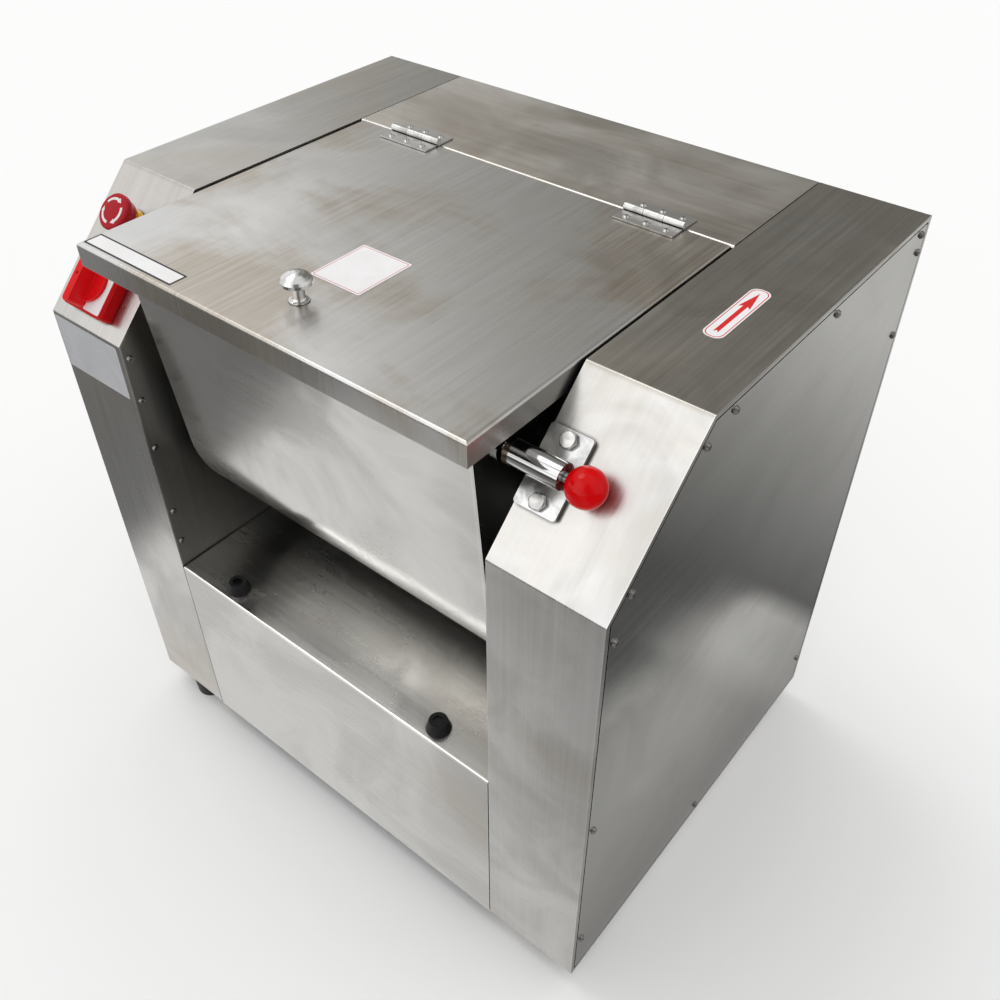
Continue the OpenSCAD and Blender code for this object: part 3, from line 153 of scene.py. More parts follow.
# Rubbed corners and edges, found where the rounded normal turns away from the flat one
edgeFinder = {"samples": 4, "flat": 0.985, "sharp": 0.88, "patchScale": 60.0, "patchDetail": 3.0,
              "patchTop": 0.6}
edgeRub, entry, result = startGroup(
    "edgeRub",
    [("Vector", "Vector", (0, 0, 0)), ("Radius", "Float", 0.002), ("Patchiness", "Float", 0.4)],
    [("Mask", "Float")])
rounded = addNode(edgeRub, "ShaderNodeBevel", {"Radius": entry["Radius"]},
                  samples=edgeFinder["samples"]).outputs[0]
surface = addNode(edgeRub, "ShaderNodeNewGeometry").outputs["Normal"]
facing = addNode(edgeRub, "ShaderNodeVectorMath", {0: rounded, 1: surface}, operation="DOT_PRODUCT")
edge = mapRange(edgeRub, facing.outputs["Value"], edgeFinder["flat"], edgeFinder["sharp"])
noise = addNode(edgeRub, "ShaderNodeTexNoise", {
    "Vector": entry["Vector"], "Scale": edgeFinder["patchScale"],
    "Detail": edgeFinder["patchDetail"]})
patchLow = maths(edgeRub, "SUBTRACT", edgeFinder["patchTop"], entry["Patchiness"])
patch = mapRange(edgeRub, noise.outputs["Fac"], patchLow, edgeFinder["patchTop"])
edgeRub.links.new(maths(edgeRub, "MULTIPLY", edge, patch), result["Mask"])

# Painted shade in narrow seams and inside corners, where ambient occlusion finds other surfaces
# close
seamFinder = {"samples": 8}
paintedSeamShade, entry, result = startGroup(
    "paintedSeamShade",
    [("Reach", "Float", 0.005), ("Low", "Float", 0.35), ("High", "Float", 0.75)],
    [("Mask", "Float")])
closeness = addNode(paintedSeamShade, "ShaderNodeAmbientOcclusion", {"Distance": entry["Reach"]},
                    samples=seamFinder["samples"])
paintedShade = mapRange(paintedSeamShade, closeness.outputs["AO"], entry["High"], entry["Low"])
paintedSeamShade.links.new(paintedShade, result["Mask"])

# Small specks: dust, water spots, casting grit
speckGate = {"low": 0.52, "high": 0.66, "detail": 4.0}
specks, entry, result = startGroup(
    "specks",
    [("Vector", "Vector", (0, 0, 0)), ("Scale", "Float", 400.0), ("Size", "Float", 0.25)],
    [("Mask", "Float"), ("Grit", "Float")])
cells = addNode(specks, "ShaderNodeTexVoronoi", {
    "Vector": entry["Vector"], "Scale": entry["Scale"]})
noise = addNode(specks, "ShaderNodeTexNoise", {
    "Vector": entry["Vector"], "Scale": entry["Scale"], "Detail": speckGate["detail"]})
dot = mapRange(specks, cells.outputs["Distance"], entry["Size"], 0.0)
gate = mapRange(specks, noise.outputs["Fac"], speckGate["low"], speckGate["high"])
specks.links.new(maths(specks, "MULTIPLY", dot, gate), result["Mask"])
specks.links.new(noise.outputs["Fac"], result["Grit"])
print("shared effects made")


def startMaterial(name, fixed):
    material = bpy.data.materials.new(name)
    material.use_nodes = True
    tree = material.node_tree
    shader = tree.nodes["Principled BSDF"]
    for key, value in fixed.items():
        shader.inputs[key].default_value = value
    where = addNode(tree, "ShaderNodeTexCoord").outputs["Object"]
    return material, tree, shader, where


def tinted(tree, colour, mask, depth, over):
    # The colour with another laid over it where the mask says, to a depth from 0 to 1
    return mixColour(tree, maths(tree, "MULTIPLY", mask, depth), colour, over)


def steelLook(**changes):
    look = {
        "colour": (0.60, 0.598, 0.59), "grainColour": (0.74, 0.738, 0.73), "grainDepth": 0.3,
        "stretch": (260, 5, 5), "contrast": 0.22,
        "rough": (0.24, 0.36), "streakRough": 0.03, "patchRough": 0.05,
        "smearColour": (0.42, 0.415, 0.40), "smearDepth": 0.5, "smearScale": 5.0,
        "smearSpread": 0.16, "smearMiddle": 0.5, "smearSwirl": 1.1,
        "patchColour": (0.47, 0.40, 0.32), "patchDepth": 0.35, "patchScale": 3.0,
        "patchSpread": 0.09, "patchMiddle": 0.58, "patchSwirl": 0.5,
        "patchShift": (0, 0, 0), "patchStretch": (1, 1, 1),
        "rubColour": (0.86, 0.85, 0.83), "rubDepth": 0.6, "rubRadius": 0.0022, "rubPatchiness": 0.5,
        # These settings darken seams and inside corners to near black: painted shade
        "seamShadeColour": (0.03, 0.028, 0.025), "seamShadeDepth": 0.94, "seamReach": 0.005, "seamLow": 0.42,
        "seamHigh": 0.86,
        # Above topStart the colour can be multiplied by a given colour: painted shading of the top
        # faces
        "topTint": None, "topStart": 0.7205, "topBlend": 0.003,
        "waveScale": 3.0, "waveDetail": 1.0, "waveHeight": 0.003,
        "grainBump": 0.05, "grainHeight": 0.0002}
    look.update(changes)
    return look


def sheetSteel(name, look):
    # Brushed sheet: streaks, wiped smears, brown heat patches, rubbed edges, painted shade in
    # seams, painted shading of the top faces where the look asks for it, and a soft waviness
    material, tree, shader, where = startMaterial(name, {"Metallic": 1.0})
    grain = placeGroup(tree, grainLines, {
        "Vector": where, "Stretch": look["stretch"], "Contrast": look["contrast"]})
    smear = placeGroup(tree, cloudPatches, {
        "Vector": where, "Scale": look["smearScale"], "Spread": look["smearSpread"],
        "Middle": look["smearMiddle"], "Swirl": look["smearSwirl"]})["Mask"]
    moved = addNode(tree, "ShaderNodeMapping", {
        "Vector": where, "Location": look["patchShift"], "Scale": look["patchStretch"]}).outputs[0]
    patch = placeGroup(tree, cloudPatches, {
        "Vector": moved, "Scale": look["patchScale"], "Spread": look["patchSpread"],
        "Middle": look["patchMiddle"], "Swirl": look["patchSwirl"]})["Mask"]
    seamShade = placeGroup(tree, paintedSeamShade, {
        "Reach": look["seamReach"], "Low": look["seamLow"], "High": look["seamHigh"]})["Mask"]
    rub = placeGroup(tree, edgeRub, {
        "Vector": where, "Radius": look["rubRadius"], "Patchiness": look["rubPatchiness"]})["Mask"]
    colour = tinted(tree, look["colour"], smear, look["smearDepth"], look["smearColour"])
    colour = tinted(tree, colour, patch, look["patchDepth"], look["patchColour"])
    colour = tinted(tree, colour, grain["Streaks"], look["grainDepth"], look["grainColour"])
    # Painted shading of the top: above a height the colour is multiplied, darker on the cabinets'
    # tops and lighter on the front panel's upper part
    if look["topTint"]:
        height = addNode(tree, "ShaderNodeSeparateXYZ", {0: where}).outputs["Z"]
        topEnd = look["topStart"] + look["topBlend"]
        paintedTopMask = mapRange(tree, height, look["topStart"], topEnd, smooth=True)
        tint = mixColour(tree, 1.0, colour, look["topTint"], blend="MULTIPLY")
        colour = mixColour(tree, paintedTopMask, colour, tint)
    colour = tinted(tree, colour, rub, look["rubDepth"], look["rubColour"])
    # Painted shade: seams and inside corners darkened to near black
    colour = tinted(tree, colour, seamShade, look["seamShadeDepth"], look["seamShadeColour"])
    tree.links.new(colour, shader.inputs["Base Color"])
    streakRough = mapRange(tree, grain["Streaks"], 0, 1, -look["streakRough"], look["streakRough"])
    rough = maths(tree, "ADD", mapRange(tree, smear, 0, 1, *look["rough"]), streakRough)
    rough = maths(tree, "ADD", rough, maths(tree, "MULTIPLY", patch, look["patchRough"]))
    tree.links.new(rough, shader.inputs["Roughness"])
    wave = addNode(tree, "ShaderNodeTexNoise", {
        "Vector": where, "Scale": look["waveScale"], "Detail": look["waveDetail"]})
    sheetBump = addNode(tree, "ShaderNodeBump", {
        "Height": wave.outputs["Fac"], "Strength": 1.0, "Distance": look["waveHeight"]})
    grainBump = addNode(tree, "ShaderNodeBump", {
        "Height": grain["Fine"], "Strength": look["grainBump"], "Distance": look["grainHeight"],
        "Normal": sheetBump.outputs[0]})
    tree.links.new(grainBump.outputs[0], shader.inputs["Normal"])
    return material


# The cabinets' top faces are multiplied darker above 0.7205 m: painted shade
cabinetSteel = sheetSteel("cabinetSteel", steelLook(
    smearScale=7.0, patchColour=(0.48, 0.41, 0.33), patchDepth=0.45, patchMiddle=0.55,
    patchStretch=(1, 1, 0.8), patchShift=(0.3, 0.1, 0.7), topTint=(0.86, 0.86, 0.85)))
driveSteel = sheetSteel("driveSteel", steelLook(
    smearScale=9.0, patchColour=(0.48, 0.43, 0.36), patchDepth=0.4, patchScale=5.0,
    patchMiddle=0.55, patchShift=(0.3, 0.1, 0.7), topTint=(0.82, 0.80, 0.76)))
# The side plates' steel is darker than the cabinets' front steel: painted shade
shadedSideSteel = sheetSteel("shadedSideSteel", steelLook(
    colour=(0.52, 0.52, 0.50), smearColour=(0.42, 0.42, 0.405), stretch=(5, 5, 200),
    rough=(0.13, 0.2), waveScale=2.2, waveHeight=0.005, grainDepth=0.15, patchDepth=0.2))
lidSteel = sheetSteel("lidSteel", steelLook(
    colour=(0.69, 0.687, 0.675), stretch=(280, 7, 7), grainDepth=0.4, smearScale=4.5,
    smearDepth=0.45, rubDepth=0.7, patchColour=(0.42, 0.36, 0.285), patchDepth=0.85,
    patchScale=4.4, patchMiddle=0.49, patchShift=(0.55, 0.2, 0.3), patchStretch=(1, 1.5, 1)))
rearSteel = sheetSteel("rearSteel", steelLook(
    colour=(0.72, 0.70, 0.66), smearColour=(0.95, 0.93, 0.89), smearDepth=0.65, smearScale=6.0,
    stretch=(4, 220, 220), patchColour=(0.45, 0.385, 0.315), patchDepth=0.6, patchScale=4.5,
    patchMiddle=0.52, patchStretch=(0.6, 1.6, 1)))
bowlSteel = sheetSteel("bowlSteel", steelLook(
    colour=(0.67, 0.665, 0.65), stretch=(5, 120, 120), rough=(0.18, 0.3), waveScale=4.0,
    waveHeight=0.005, patchDepth=0.25, smearScale=6.0, grainDepth=0.2))
# The front panel above 0.289 m is made half as bright again: painted light
panelSteel = sheetSteel("panelSteel", steelLook(
    stretch=(5, 200, 200), smearScale=6.0, patchColour=(0.50, 0.43, 0.36), patchDepth=0.45,
    patchShift=(0.8, 0.2, 0.4), rough=(0.18, 0.3), topTint=(1.5, 1.49, 1.47), topStart=0.289))
innerSteel = sheetSteel("innerSteel", steelLook(
    colour=(0.34, 0.335, 0.32), smearColour=(0.2, 0.2, 0.19), grainColour=(0.42, 0.42, 0.41),
    stretch=(5, 150, 5), rough=(0.3, 0.45), rubDepth=0.4))
print("sheet steels made")


def metalLook(**changes):
    look = {
        "colour": (0.75, 0.75, 0.75), "rough": (0.08, 0.24), "bump": 0.12, "bumpHeight": 0.0001,
        "dullColour": (0.35, 0.34, 0.33), "dullDepth": 0.4, "dullScale": 60.0, "dullSpread": 0.12,
        "dullMiddle": 0.55, "dullSwirl": 0.6,
        "grainColour": (0.85, 0.85, 0.84), "grainDepth": 0.25, "stretch": (900, 60, 60),
        "contrast": 0.25,
        "rubDepth": 0.5, "rubRadius": 0.0006, "rubPatchiness": 0.5,
        # These settings darken seams and inside corners to near black: painted shade
        "seamShadeColour": (0.03, 0.028, 0.025), "seamShadeDepth": 0.9, "seamReach": 0.003, "seamLow": 0.4,
        "seamHigh": 0.8}
    look.update(changes)
    return look


def turnedMetal(name, look):
    # Machined or plated small pieces: fine turning marks, dull smudges, bright rubbed edges and
    # painted shade in seams and inside corners
    material, tree, shader, where = startMaterial(name, {"Metallic": 1.0})
    grain = placeGroup(tree, grainLines, {
        "Vector": where, "Stretch": look["stretch"], "Contrast": look["contrast"]})
    dull = placeGroup(tree, cloudPatches, {
        "Vector": where, "Scale": look["dullScale"], "Spread": look["dullSpread"],
        "Middle": look["dullMiddle"], "Swirl": look["dullSwirl"]})["Mask"]
    rub = placeGroup(tree, edgeRub, {
        "Vector": where, "Radius": look["rubRadius"], "Patchiness": look["rubPatchiness"]})["Mask"]
    seamShade = placeGroup(tree, paintedSeamShade, {
        "Reach": look["seamReach"], "Low": look["seamLow"], "High": look["seamHigh"]})["Mask"]
    colour = tinted(tree, look["colour"], dull, look["dullDepth"], look["dullColour"])
    colour = tinted(tree, colour, grain["Streaks"], look["grainDepth"], look["grainColour"])
    colour = tinted(tree, colour, rub, look["rubDepth"], look["grainColour"])
    # Painted shade: seams and inside corners darkened to near black
    colour = tinted(tree, colour, seamShade, look["seamShadeDepth"], look["seamShadeColour"])
    tree.links.new(colour, shader.inputs["Base Color"])
    tree.links.new(mapRange(tree, dull, 0, 1, *look["rough"]), shader.inputs["Roughness"])
    bump = addNode(tree, "ShaderNodeBump", {
        "Height": grain["Fine"], "Strength": look["bump"], "Distance": look["bumpHeight"]})
    tree.links.new(bump.outputs[0], shader.inputs["Normal"])
    return material


chrome = turnedMetal("chrome", metalLook())
# Dark streaks along the latch housing's length: painted reflection bands
latchChromePaintedBands = turnedMetal("latchChromePaintedBands", metalLook(
    stretch=(12, 520, 520), grainColour=(0.1, 0.098, 0.095), grainDepth=0.8, dullDepth=0.3,
    rough=(0.08, 0.18), bump=0.06))
boltSteel = turnedMetal("boltSteel", metalLook(
    colour=(0.55, 0.545, 0.53), dullScale=120.0, dullDepth=0.5, rough=(0.14, 0.28), bump=0.06,
    stretch=(300, 300, 300)))
screwSteel = turnedMetal("screwSteel", metalLook(
    colour=(0.3, 0.29, 0.28), dullColour=(0.12, 0.115, 0.11), dullDepth=0.6,
    grainColour=(0.42, 0.41, 0.4), rough=(0.25, 0.4), bump=0.06, stretch=(300, 300, 300)))
# Near-black steel for the screws down in the bumpers: painted shade of their hollows
paintedShadeSteel = turnedMetal("paintedShadeSteel", metalLook(
    colour=(0.035, 0.035, 0.036), dullColour=(0.015, 0.015, 0.015), grainColour=(0.07, 0.07, 0.07),
    rough=(0.35, 0.5), bump=0.06))
ringSteel = turnedMetal("ringSteel", metalLook(
    colour=(0.13, 0.1, 0.075), dullColour=(0.05, 0.04, 0.032), grainColour=(0.24, 0.19, 0.15),
    rough=(0.2, 0.34), bump=0.06))
hingeSteel = turnedMetal("hingeSteel", metalLook(
    colour=(0.58, 0.575, 0.56), dullColour=(0.3, 0.29, 0.27), dullScale=70.0, dullDepth=0.6,
    stretch=(90, 400, 400), rough=(0.34, 0.46), bump=0.08))
latchPlateSteel = turnedMetal("latchPlateSteel", metalLook(
    colour=(0.58, 0.58, 0.575), dullColour=(0.2, 0.2, 0.2), dullDepth=0.5, dullScale=45.0,
    stretch=(400, 50, 50), rough=(0.14, 0.28), bump=0.08))
shaftSteel = turnedMetal("shaftSteel", metalLook(
    colour=(0.58, 0.575, 0.56), stretch=(900, 40, 40), dullDepth=0.5, rough=(0.2, 0.4), bump=0.3))
bladeSteel = turnedMetal("bladeSteel", metalLook(
    colour=(0.6, 0.6, 0.585), dullScale=18.0, stretch=(40, 300, 300), rough=(0.22, 0.4), bump=0.35))
castIron = turnedMetal("castIron", metalLook(
    colour=(0.2, 0.2, 0.205), dullColour=(0.09, 0.085, 0.08), dullScale=70.0,
    grainColour=(0.42, 0.42, 0.42), grainDepth=0.2, stretch=(300, 300, 300), rough=(0.42, 0.65),
    bump=0.9))
bronze = turnedMetal("bronze", metalLook(
    colour=(0.72, 0.48, 0.22), dullColour=(0.32, 0.2, 0.09), grainColour=(0.85, 0.62, 0.33),
    rough=(0.25, 0.45)))
print("small metals made")


def mouldedLook(**changes):
    look = {
        "colour": (0.5, 0.5, 0.5), "cloudColour": (0.4, 0.4, 0.4), "cloudDepth": 0.5,
        "cloudScale": 30.0, "cloudSpread": 0.2, "cloudMiddle": 0.5, "cloudSwirl": 0.4,
        "gritScale": 900.0, "gritSize": 0.3, "dust": 0.25, "dustColour": (0.6, 0.58, 0.55),
        "rubColour": (0.75, 0.72, 0.7), "rubDepth": 0.2, "rubRadius": 0.0008, "rubPatchiness": 0.45,
        "rough": (0.3, 0.45), "rubRough": 0.1, "bump": 0.1, "bumpHeight": 0.0002,
        "fixed": {"Specular IOR Level": 0.12}}
    look.update(changes)
    return look


def mouldedSurface(name, look):
    # Plastic, rubber and paint: soft colour change, grit in the surface, scuffs and dust
    material, tree, shader, where = startMaterial(name, look["fixed"])
    clouds = placeGroup(tree, cloudPatches, {
        "Vector": where, "Scale": look["cloudScale"], "Spread": look["cloudSpread"],
        "Middle": look["cloudMiddle"], "Swirl": look["cloudSwirl"]})["Mask"]
    grit = placeGroup(tree, specks, {
        "Vector": where, "Scale": look["gritScale"], "Size": look["gritSize"]})
    rub = placeGroup(tree, edgeRub, {
        "Vector": where, "Radius": look["rubRadius"], "Patchiness": look["rubPatchiness"]})["Mask"]
    colour = tinted(tree, look["colour"], clouds, look["cloudDepth"], look["cloudColour"])
    colour = tinted(tree, colour, grit["Mask"], look["dust"], look["dustColour"])
    colour = tinted(tree, colour, rub, look["rubDepth"], look["rubColour"])
    tree.links.new(colour, shader.inputs["Base Color"])
    rubRough = maths(tree, "MULTIPLY", rub, look["rubRough"])
    rough = maths(tree, "ADD", mapRange(tree, clouds, 0, 1, *look["rough"]), rubRough)
    tree.links.new(rough, shader.inputs["Roughness"])
    bump = addNode(tree, "ShaderNodeBump", {
        "Height": grit["Grit"], "Strength": look["bump"], "Distance": look["bumpHeight"]})
    tree.links.new(bump.outputs[0], shader.inputs["Normal"])
    return material


blackRubber = mouldedSurface("blackRubber", mouldedLook(
    colour=(0.016, 0.016, 0.018), cloudColour=(0.035, 0.034, 0.033), rough=(0.4, 0.62), bump=0.7,
    gritScale=1400.0, rubColour=(0.12, 0.12, 0.12), rubDepth=0.5))
beltRubber = mouldedSurface("beltRubber", mouldedLook(
    colour=(0.02, 0.02, 0.02), cloudColour=(0.05, 0.048, 0.045), rough=(0.5, 0.7), bump=0.8,
    gritScale=1600.0, rubColour=(0.1, 0.1, 0.1)))
blackPlastic = mouldedSurface("blackPlastic", mouldedLook(
    colour=(0.02, 0.02, 0.022), cloudColour=(0.035, 0.035, 0.035), rubColour=(0.15, 0.15, 0.15)))
greyPlastic = mouldedSurface("greyPlastic", mouldedLook(
    colour=(0.16, 0.165, 0.17), cloudColour=(0.12, 0.12, 0.125), rough=(0.38, 0.5)))
ballRed = mouldedSurface("ballRed", mouldedLook(
    colour=(0.66, 0.001, 0.003), cloudColour=(0.56, 0.001, 0.002), rough=(0.08, 0.16), bump=0.02,
    dust=0.02, rubDepth=0.0,
    fixed={"Coat Weight": 0.3, "Coat Roughness": 0.03, "Specular IOR Level": 0.04}))
switchRed = mouldedSurface("switchRed", mouldedLook(
    colour=(0.60, 0.003, 0.005), cloudColour=(0.50, 0.002, 0.003), rough=(0.26, 0.4), bump=0.15,
    dust=0.1, rubColour=(0.85, 0.2, 0.18), rubDepth=0.25))
knobRed = mouldedSurface("knobRed", mouldedLook(
    colour=(0.76, 0.008, 0.012), cloudColour=(0.66, 0.005, 0.008), rough=(0.24, 0.38), bump=0.12,
    dust=0.08, rubColour=(0.9, 0.25, 0.22), rubDepth=0.25))
estopRed = mouldedSurface("estopRed", mouldedLook(
    colour=(0.42, 0.012, 0.022), cloudColour=(0.33, 0.01, 0.016), rough=(0.3, 0.42), bump=0.15,
    dust=0.12, rubColour=(0.6, 0.12, 0.12), rubDepth=0.3))
estopYellow = mouldedSurface("estopYellow", mouldedLook(
    colour=(0.86, 0.48, 0.03), cloudColour=(0.76, 0.38, 0.02), rough=(0.3, 0.42),
    rubColour=(0.95, 0.7, 0.25)))
motorPaint = mouldedSurface("motorPaint", mouldedLook(
    colour=(0.06, 0.14, 0.2), cloudColour=(0.05, 0.11, 0.16), bump=0.5, gritScale=500.0,
    rubColour=(0.3, 0.35, 0.38)))
chassisPaint = mouldedSurface("chassisPaint", mouldedLook(
    colour=(0.07, 0.075, 0.08), cloudColour=(0.05, 0.052, 0.055), rough=(0.38, 0.55), bump=0.4,
    rubColour=(0.3, 0.3, 0.3)))


def vinyl(name, colour, cloudColour):
    return mouldedSurface(name, mouldedLook(
        colour=colour, cloudColour=cloudColour, cloudScale=40.0, cloudDepth=0.6, dust=0.15,
        dustColour=(0.45, 0.42, 0.38), rough=(0.22, 0.4), bump=0.12, rubDepth=0.0))


whiteVinyl = vinyl("whiteVinyl", (0.86, 0.85, 0.85), (0.78, 0.77, 0.76))
silverVinyl = vinyl("silverVinyl", (0.50, 0.505, 0.525), (0.43, 0.435, 0.455))
pinkVinyl = vinyl("pinkVinyl", (0.72, 0.28, 0.32), (0.62, 0.22, 0.26))
redVinyl = vinyl("redVinyl", (0.70, 0.03, 0.03), (0.58, 0.02, 0.02))
blackVinyl = vinyl("blackVinyl", (0.03, 0.03, 0.03), (0.06, 0.06, 0.06))
whiteInk = vinyl("whiteInk", (0.82, 0.80, 0.79), (0.7, 0.66, 0.65))
# Flat near-black for the screws' cross recesses: painted shade standing in for their hollows
paintedRecessShade = mouldedSurface("paintedRecessShade", mouldedLook(
    colour=(0.03, 0.03, 0.03), cloudColour=(0.06, 0.055, 0.05), rough=(0.5, 0.7), rubDepth=0.0))
print("plastics, rubber, paint and vinyl made")

dressing = {
    cabinetSteel: ["left_cabinet_shell"],
    driveSteel: ["right_cabinet_shell"],
    shadedSideSteel: ["left_side_plate", "right_side_plate"],
    lidSteel: ["lid_panel"],
    rearSteel: ["rear_cover"],
    bowlSteel: ["bowl_trough", "bowl_left_end", "bowl_right_end"],
    panelSteel: ["front_panel"],
    innerSteel: ["left_frame_plate", "right_frame_plate", "bay_wall"],
    chrome: ["lid_knob", "latch_pin"],
    latchChromePaintedBands: ["latch_housing"],
    boltSteel: ["latch_bolts", "hinge_body_rivets", "hinge_lid_rivets"],
    screwSteel: ["pan_screws"],
    paintedShadeSteel: ["bumper_screws"],
    ringSteel: ["latch_ring"],
    hingeSteel: ["hinge_body_leaves", "hinge_lid_leaves", "hinge_pins"],
    latchPlateSteel: ["latch_plate", "latch_keeper"],
    shaftSteel: ["mixer_shaft", "countershaft", "motor_shaft", "bowl_hubs", "left_bearing_hub",
                 "right_bearing_hub", "counter_cartridge", "latch_spring"],
    bladeSteel: ["agitator_spiders", "agitator_blades"],
    castIron: ["main_gear", "large_pulley", "small_pulley"],
    bronze: ["shaft_bushes"],
    blackRubber: ["feet", "bumpers", "shaft_seals"],
    beltRubber: ["v_belts"],
    blackPlastic: ["estop_ring", "cable_gland", "contact_blocks"],
    greyPlastic: ["contactor"],
    ballRed: ["latch_ball"],
    switchRed: ["switch_housing"],
    knobRed: ["switch_knob"],
    estopRed: ["estop_head"],
    estopYellow: ["estop_collar", "estop_stem"],
    motorPaint: ["motor_body", "motor_fan_cover"],
    chassisPaint: ["cross_beams", "motor_plate"],
}
for material, names in dressing.items():
    for name in names:
        mesh = nodes[name].data
        if not mesh.materials:
            mesh.materials.append(material)
        for i in range(len(mesh.materials)):
            mesh.materials[i] = material
print("nodes with a finish:", sum(len(names) for names in dressing.values()), "of", len(nodes))


# The cabinets in millimetres: left front bottom corner, height, and their slopes' drop and run
body = {"left": -350.0, "front": -268.25, "bottom": 32.0, "height": 692.0,
        "slopeDrop": 121.0, "slopeRun": 124.0}
slopeAngle = math.atan2(body["slopeDrop"], body["slopeRun"])


def at(x, y, z):
    return [a * millimetre for a in (body["left"] + x, body["front"] + y, body["bottom"] + z)]


def planeAt(corner, along, across):
    # Matrix of a plane at a corner, its x and y along two directions and z out of the surface
    x = Vector(along).normalized()
    y = Vector(across).normalized()
    z = x.cross(y)
    rows = [(x[i], y[i], z[i], corner[i]) for i in range(3)]
    return Matrix((*rows, (0, 0, 0, 1)))


def onTop(corner):
    return planeAt(at(corner[0], corner[1], body["height"]), (1, 0, 0), (0, 1, 0))


def onFront(corner):
    return planeAt(at(corner[0], 0.0, corner[1]), (1, 0, 0), (0, 0, 1))


def onSlope(x, along, height):
    # x to the right, y up the slope, z out of it
    up = Vector((0, math.cos(slopeAngle), math.sin(slopeAngle)))
    out = Vector((0, -math.sin(slopeAngle), math.cos(slopeAngle)))
    foot = Vector((x, body["front"], body["bottom"] + body["height"] - body["slopeDrop"]))
    return planeAt((foot + up * along + out * height) * millimetre, (1, 0, 0), up)


def roundedOutline(width, height, radius, steps=8):
    points = []
    for cx, cy, start in ((width - radius, radius, -90), (width - radius, height - radius, 0),
                          (radius, height - radius, 90), (radius, radius, 180)):
        for i in range(steps + 1):
            a = math.radians(start + 90 * i / steps)
            points.append((cx + radius * math.cos(a), cy + radius * math.sin(a)))
    return points


def shrink(outline, by, width, height):
    # The outline scaled about its middle so that each side moves in by the same amount
    halfX, halfY = width / 2, height / 2
    sx = (width - 2 * by) / width
    sy = (height - 2 * by) / height
    return [((x - halfX) * sx + halfX, (y - halfY) * sy + halfY) for x, y in outline]


def finishPiece(name, build, place, material, carrier):
    bmesh.ops.recalc_face_normals(build, faces=build.faces)
    mesh = bpy.data.meshes.new(name)
    build.to_mesh(mesh)
    build.free()
    mesh.transform(place)
    mesh.materials.append(material)
    piece = bpy.data.objects.new(name, mesh)
    bpy.context.scene.collection.objects.link(piece)
    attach(piece, carrier)
    return piece


def rowOfVerts(build, outline, height):
    return [build.verts.new([a * millimetre for a in (x, y, height)]) for x, y in outline]


def joinRows(build, one, other):
    # Faces between two closed rows of as many points
    for i in range(len(one)):
        j = (i + 1) % len(one)
        build.faces.new((one[i], one[j], other[j], other[i]))


bevelShape = {"segments": 2, "profile": 0.5}


def thinPlate(name, outline, low, high, place, material, carrier, bevel=0.0):
    # Prism of an outline in millimetres between two heights, its upper edge bevelled
    build = bmesh.new()
    lower = rowOfVerts(build, outline, low)
    upper = rowOfVerts(build, outline, high)
    build.faces.new(list(reversed(lower)))
    top = build.faces.new(upper)
    joinRows(build, lower, upper)
    if bevel:
        bmesh.ops.bevel(build, geom=list(top.edges), offset=bevel * millimetre, affect="EDGES",
                        segments=bevelShape["segments"], profile=bevelShape["profile"])
    return finishPiece(name, build, place, material, carrier)


def ringPlate(name, outer, inner, low, high, place, material, carrier):
    # Band between two outlines of as many points
    build = bmesh.new()
    corners = ((outer, low), (outer, high), (inner, high), (inner, low))
    rows = [rowOfVerts(build, outline, height) for outline, height in corners]
    for i in range(len(rows)):
        joinRows(build, rows[i], rows[(i + 1) % len(rows)])
    return finishPiece(name, build, place, material, carrier)


def linedSign(name, lineName, look, paper, ink, carrier):
    # Blank sign on a top face, with a printed line that follows its edge
    place = onTop(look["corner"])
    width, height = look["width"], look["height"]
    outline = roundedOutline(width, height, look["radius"], look["steps"])
    thinPlate(name, outline, look["low"], look["high"], place, paper, carrier, bevel=look["bevel"])
    outer = shrink(outline, look["line"], width, height)
    inner = shrink(outline, look["line"] + look["lineWidth"], width, height)
    ringPlate(lineName, outer, inner, look["inkLow"], look["inkHigh"], place, ink, carrier)


# Blank sign on the lid: white with a thin pinkish line near its edge
lidSign = {"corner": (324.0, 81.0), "width": 59.0, "height": 67.0, "radius": 2.0, "steps": 8,
           "low": 0.02, "high": 0.25, "bevel": 0.06, "line": 1.6, "lineWidth": 0.8,
           "inkLow": 0.2, "inkHigh": 0.28}
linedSign("lid_sign", "lid_sign_line", lidSign, whiteVinyl, pinkVinyl, "lid")

# Blank strip along the lid's front left edge: white with a black border
lidStrip = {"corner": (121.5, -7.7), "width": 124.2, "height": 19.2, "radius": 0.6, "steps": 3,
            "low": 0.02, "high": 0.2, "bevel": 0.05, "line": 0.0, "lineWidth": 1.9,
            "inkLow": 0.1, "inkHigh": 0.24}
linedSign("lid_strip", "lid_strip_border", lidStrip, whiteVinyl, blackVinyl, "lid")

# Arrow strip on the right cabinet: it points to the back
arrowStrip = {"corner": (634.0, 211.0), "width": 19.0, "height": 91.0, "radius": 8.0, "steps": 8,
              "low": 0.02, "high": 0.25, "bevel": 0.06, "line": 1.3, "lineWidth": 0.8,
              "inkLow": 0.2, "inkHigh": 0.28}
linedSign("arrow_strip", "arrow_strip_line", arrowStrip, whiteVinyl, redVinyl, "frame")
arrowLook = {"start": 9.0, "tip": 84.0, "headLength": 24.0, "headWidth": 11.0, "shaft": 4.2,
             "notch": 3.15, "neck": 1.5, "barb": 4.5, "inkLow": 0.2, "inkHigh": 0.3}
middle = arrowStrip["width"] / 2
shaft, head = arrowLook["shaft"] / 2, arrowLook["headWidth"] / 2
headStart = arrowLook["tip"] - arrowLook["headLength"]
neckEnd, barbEnd = headStart - arrowLook["neck"], headStart - arrowLook["barb"]
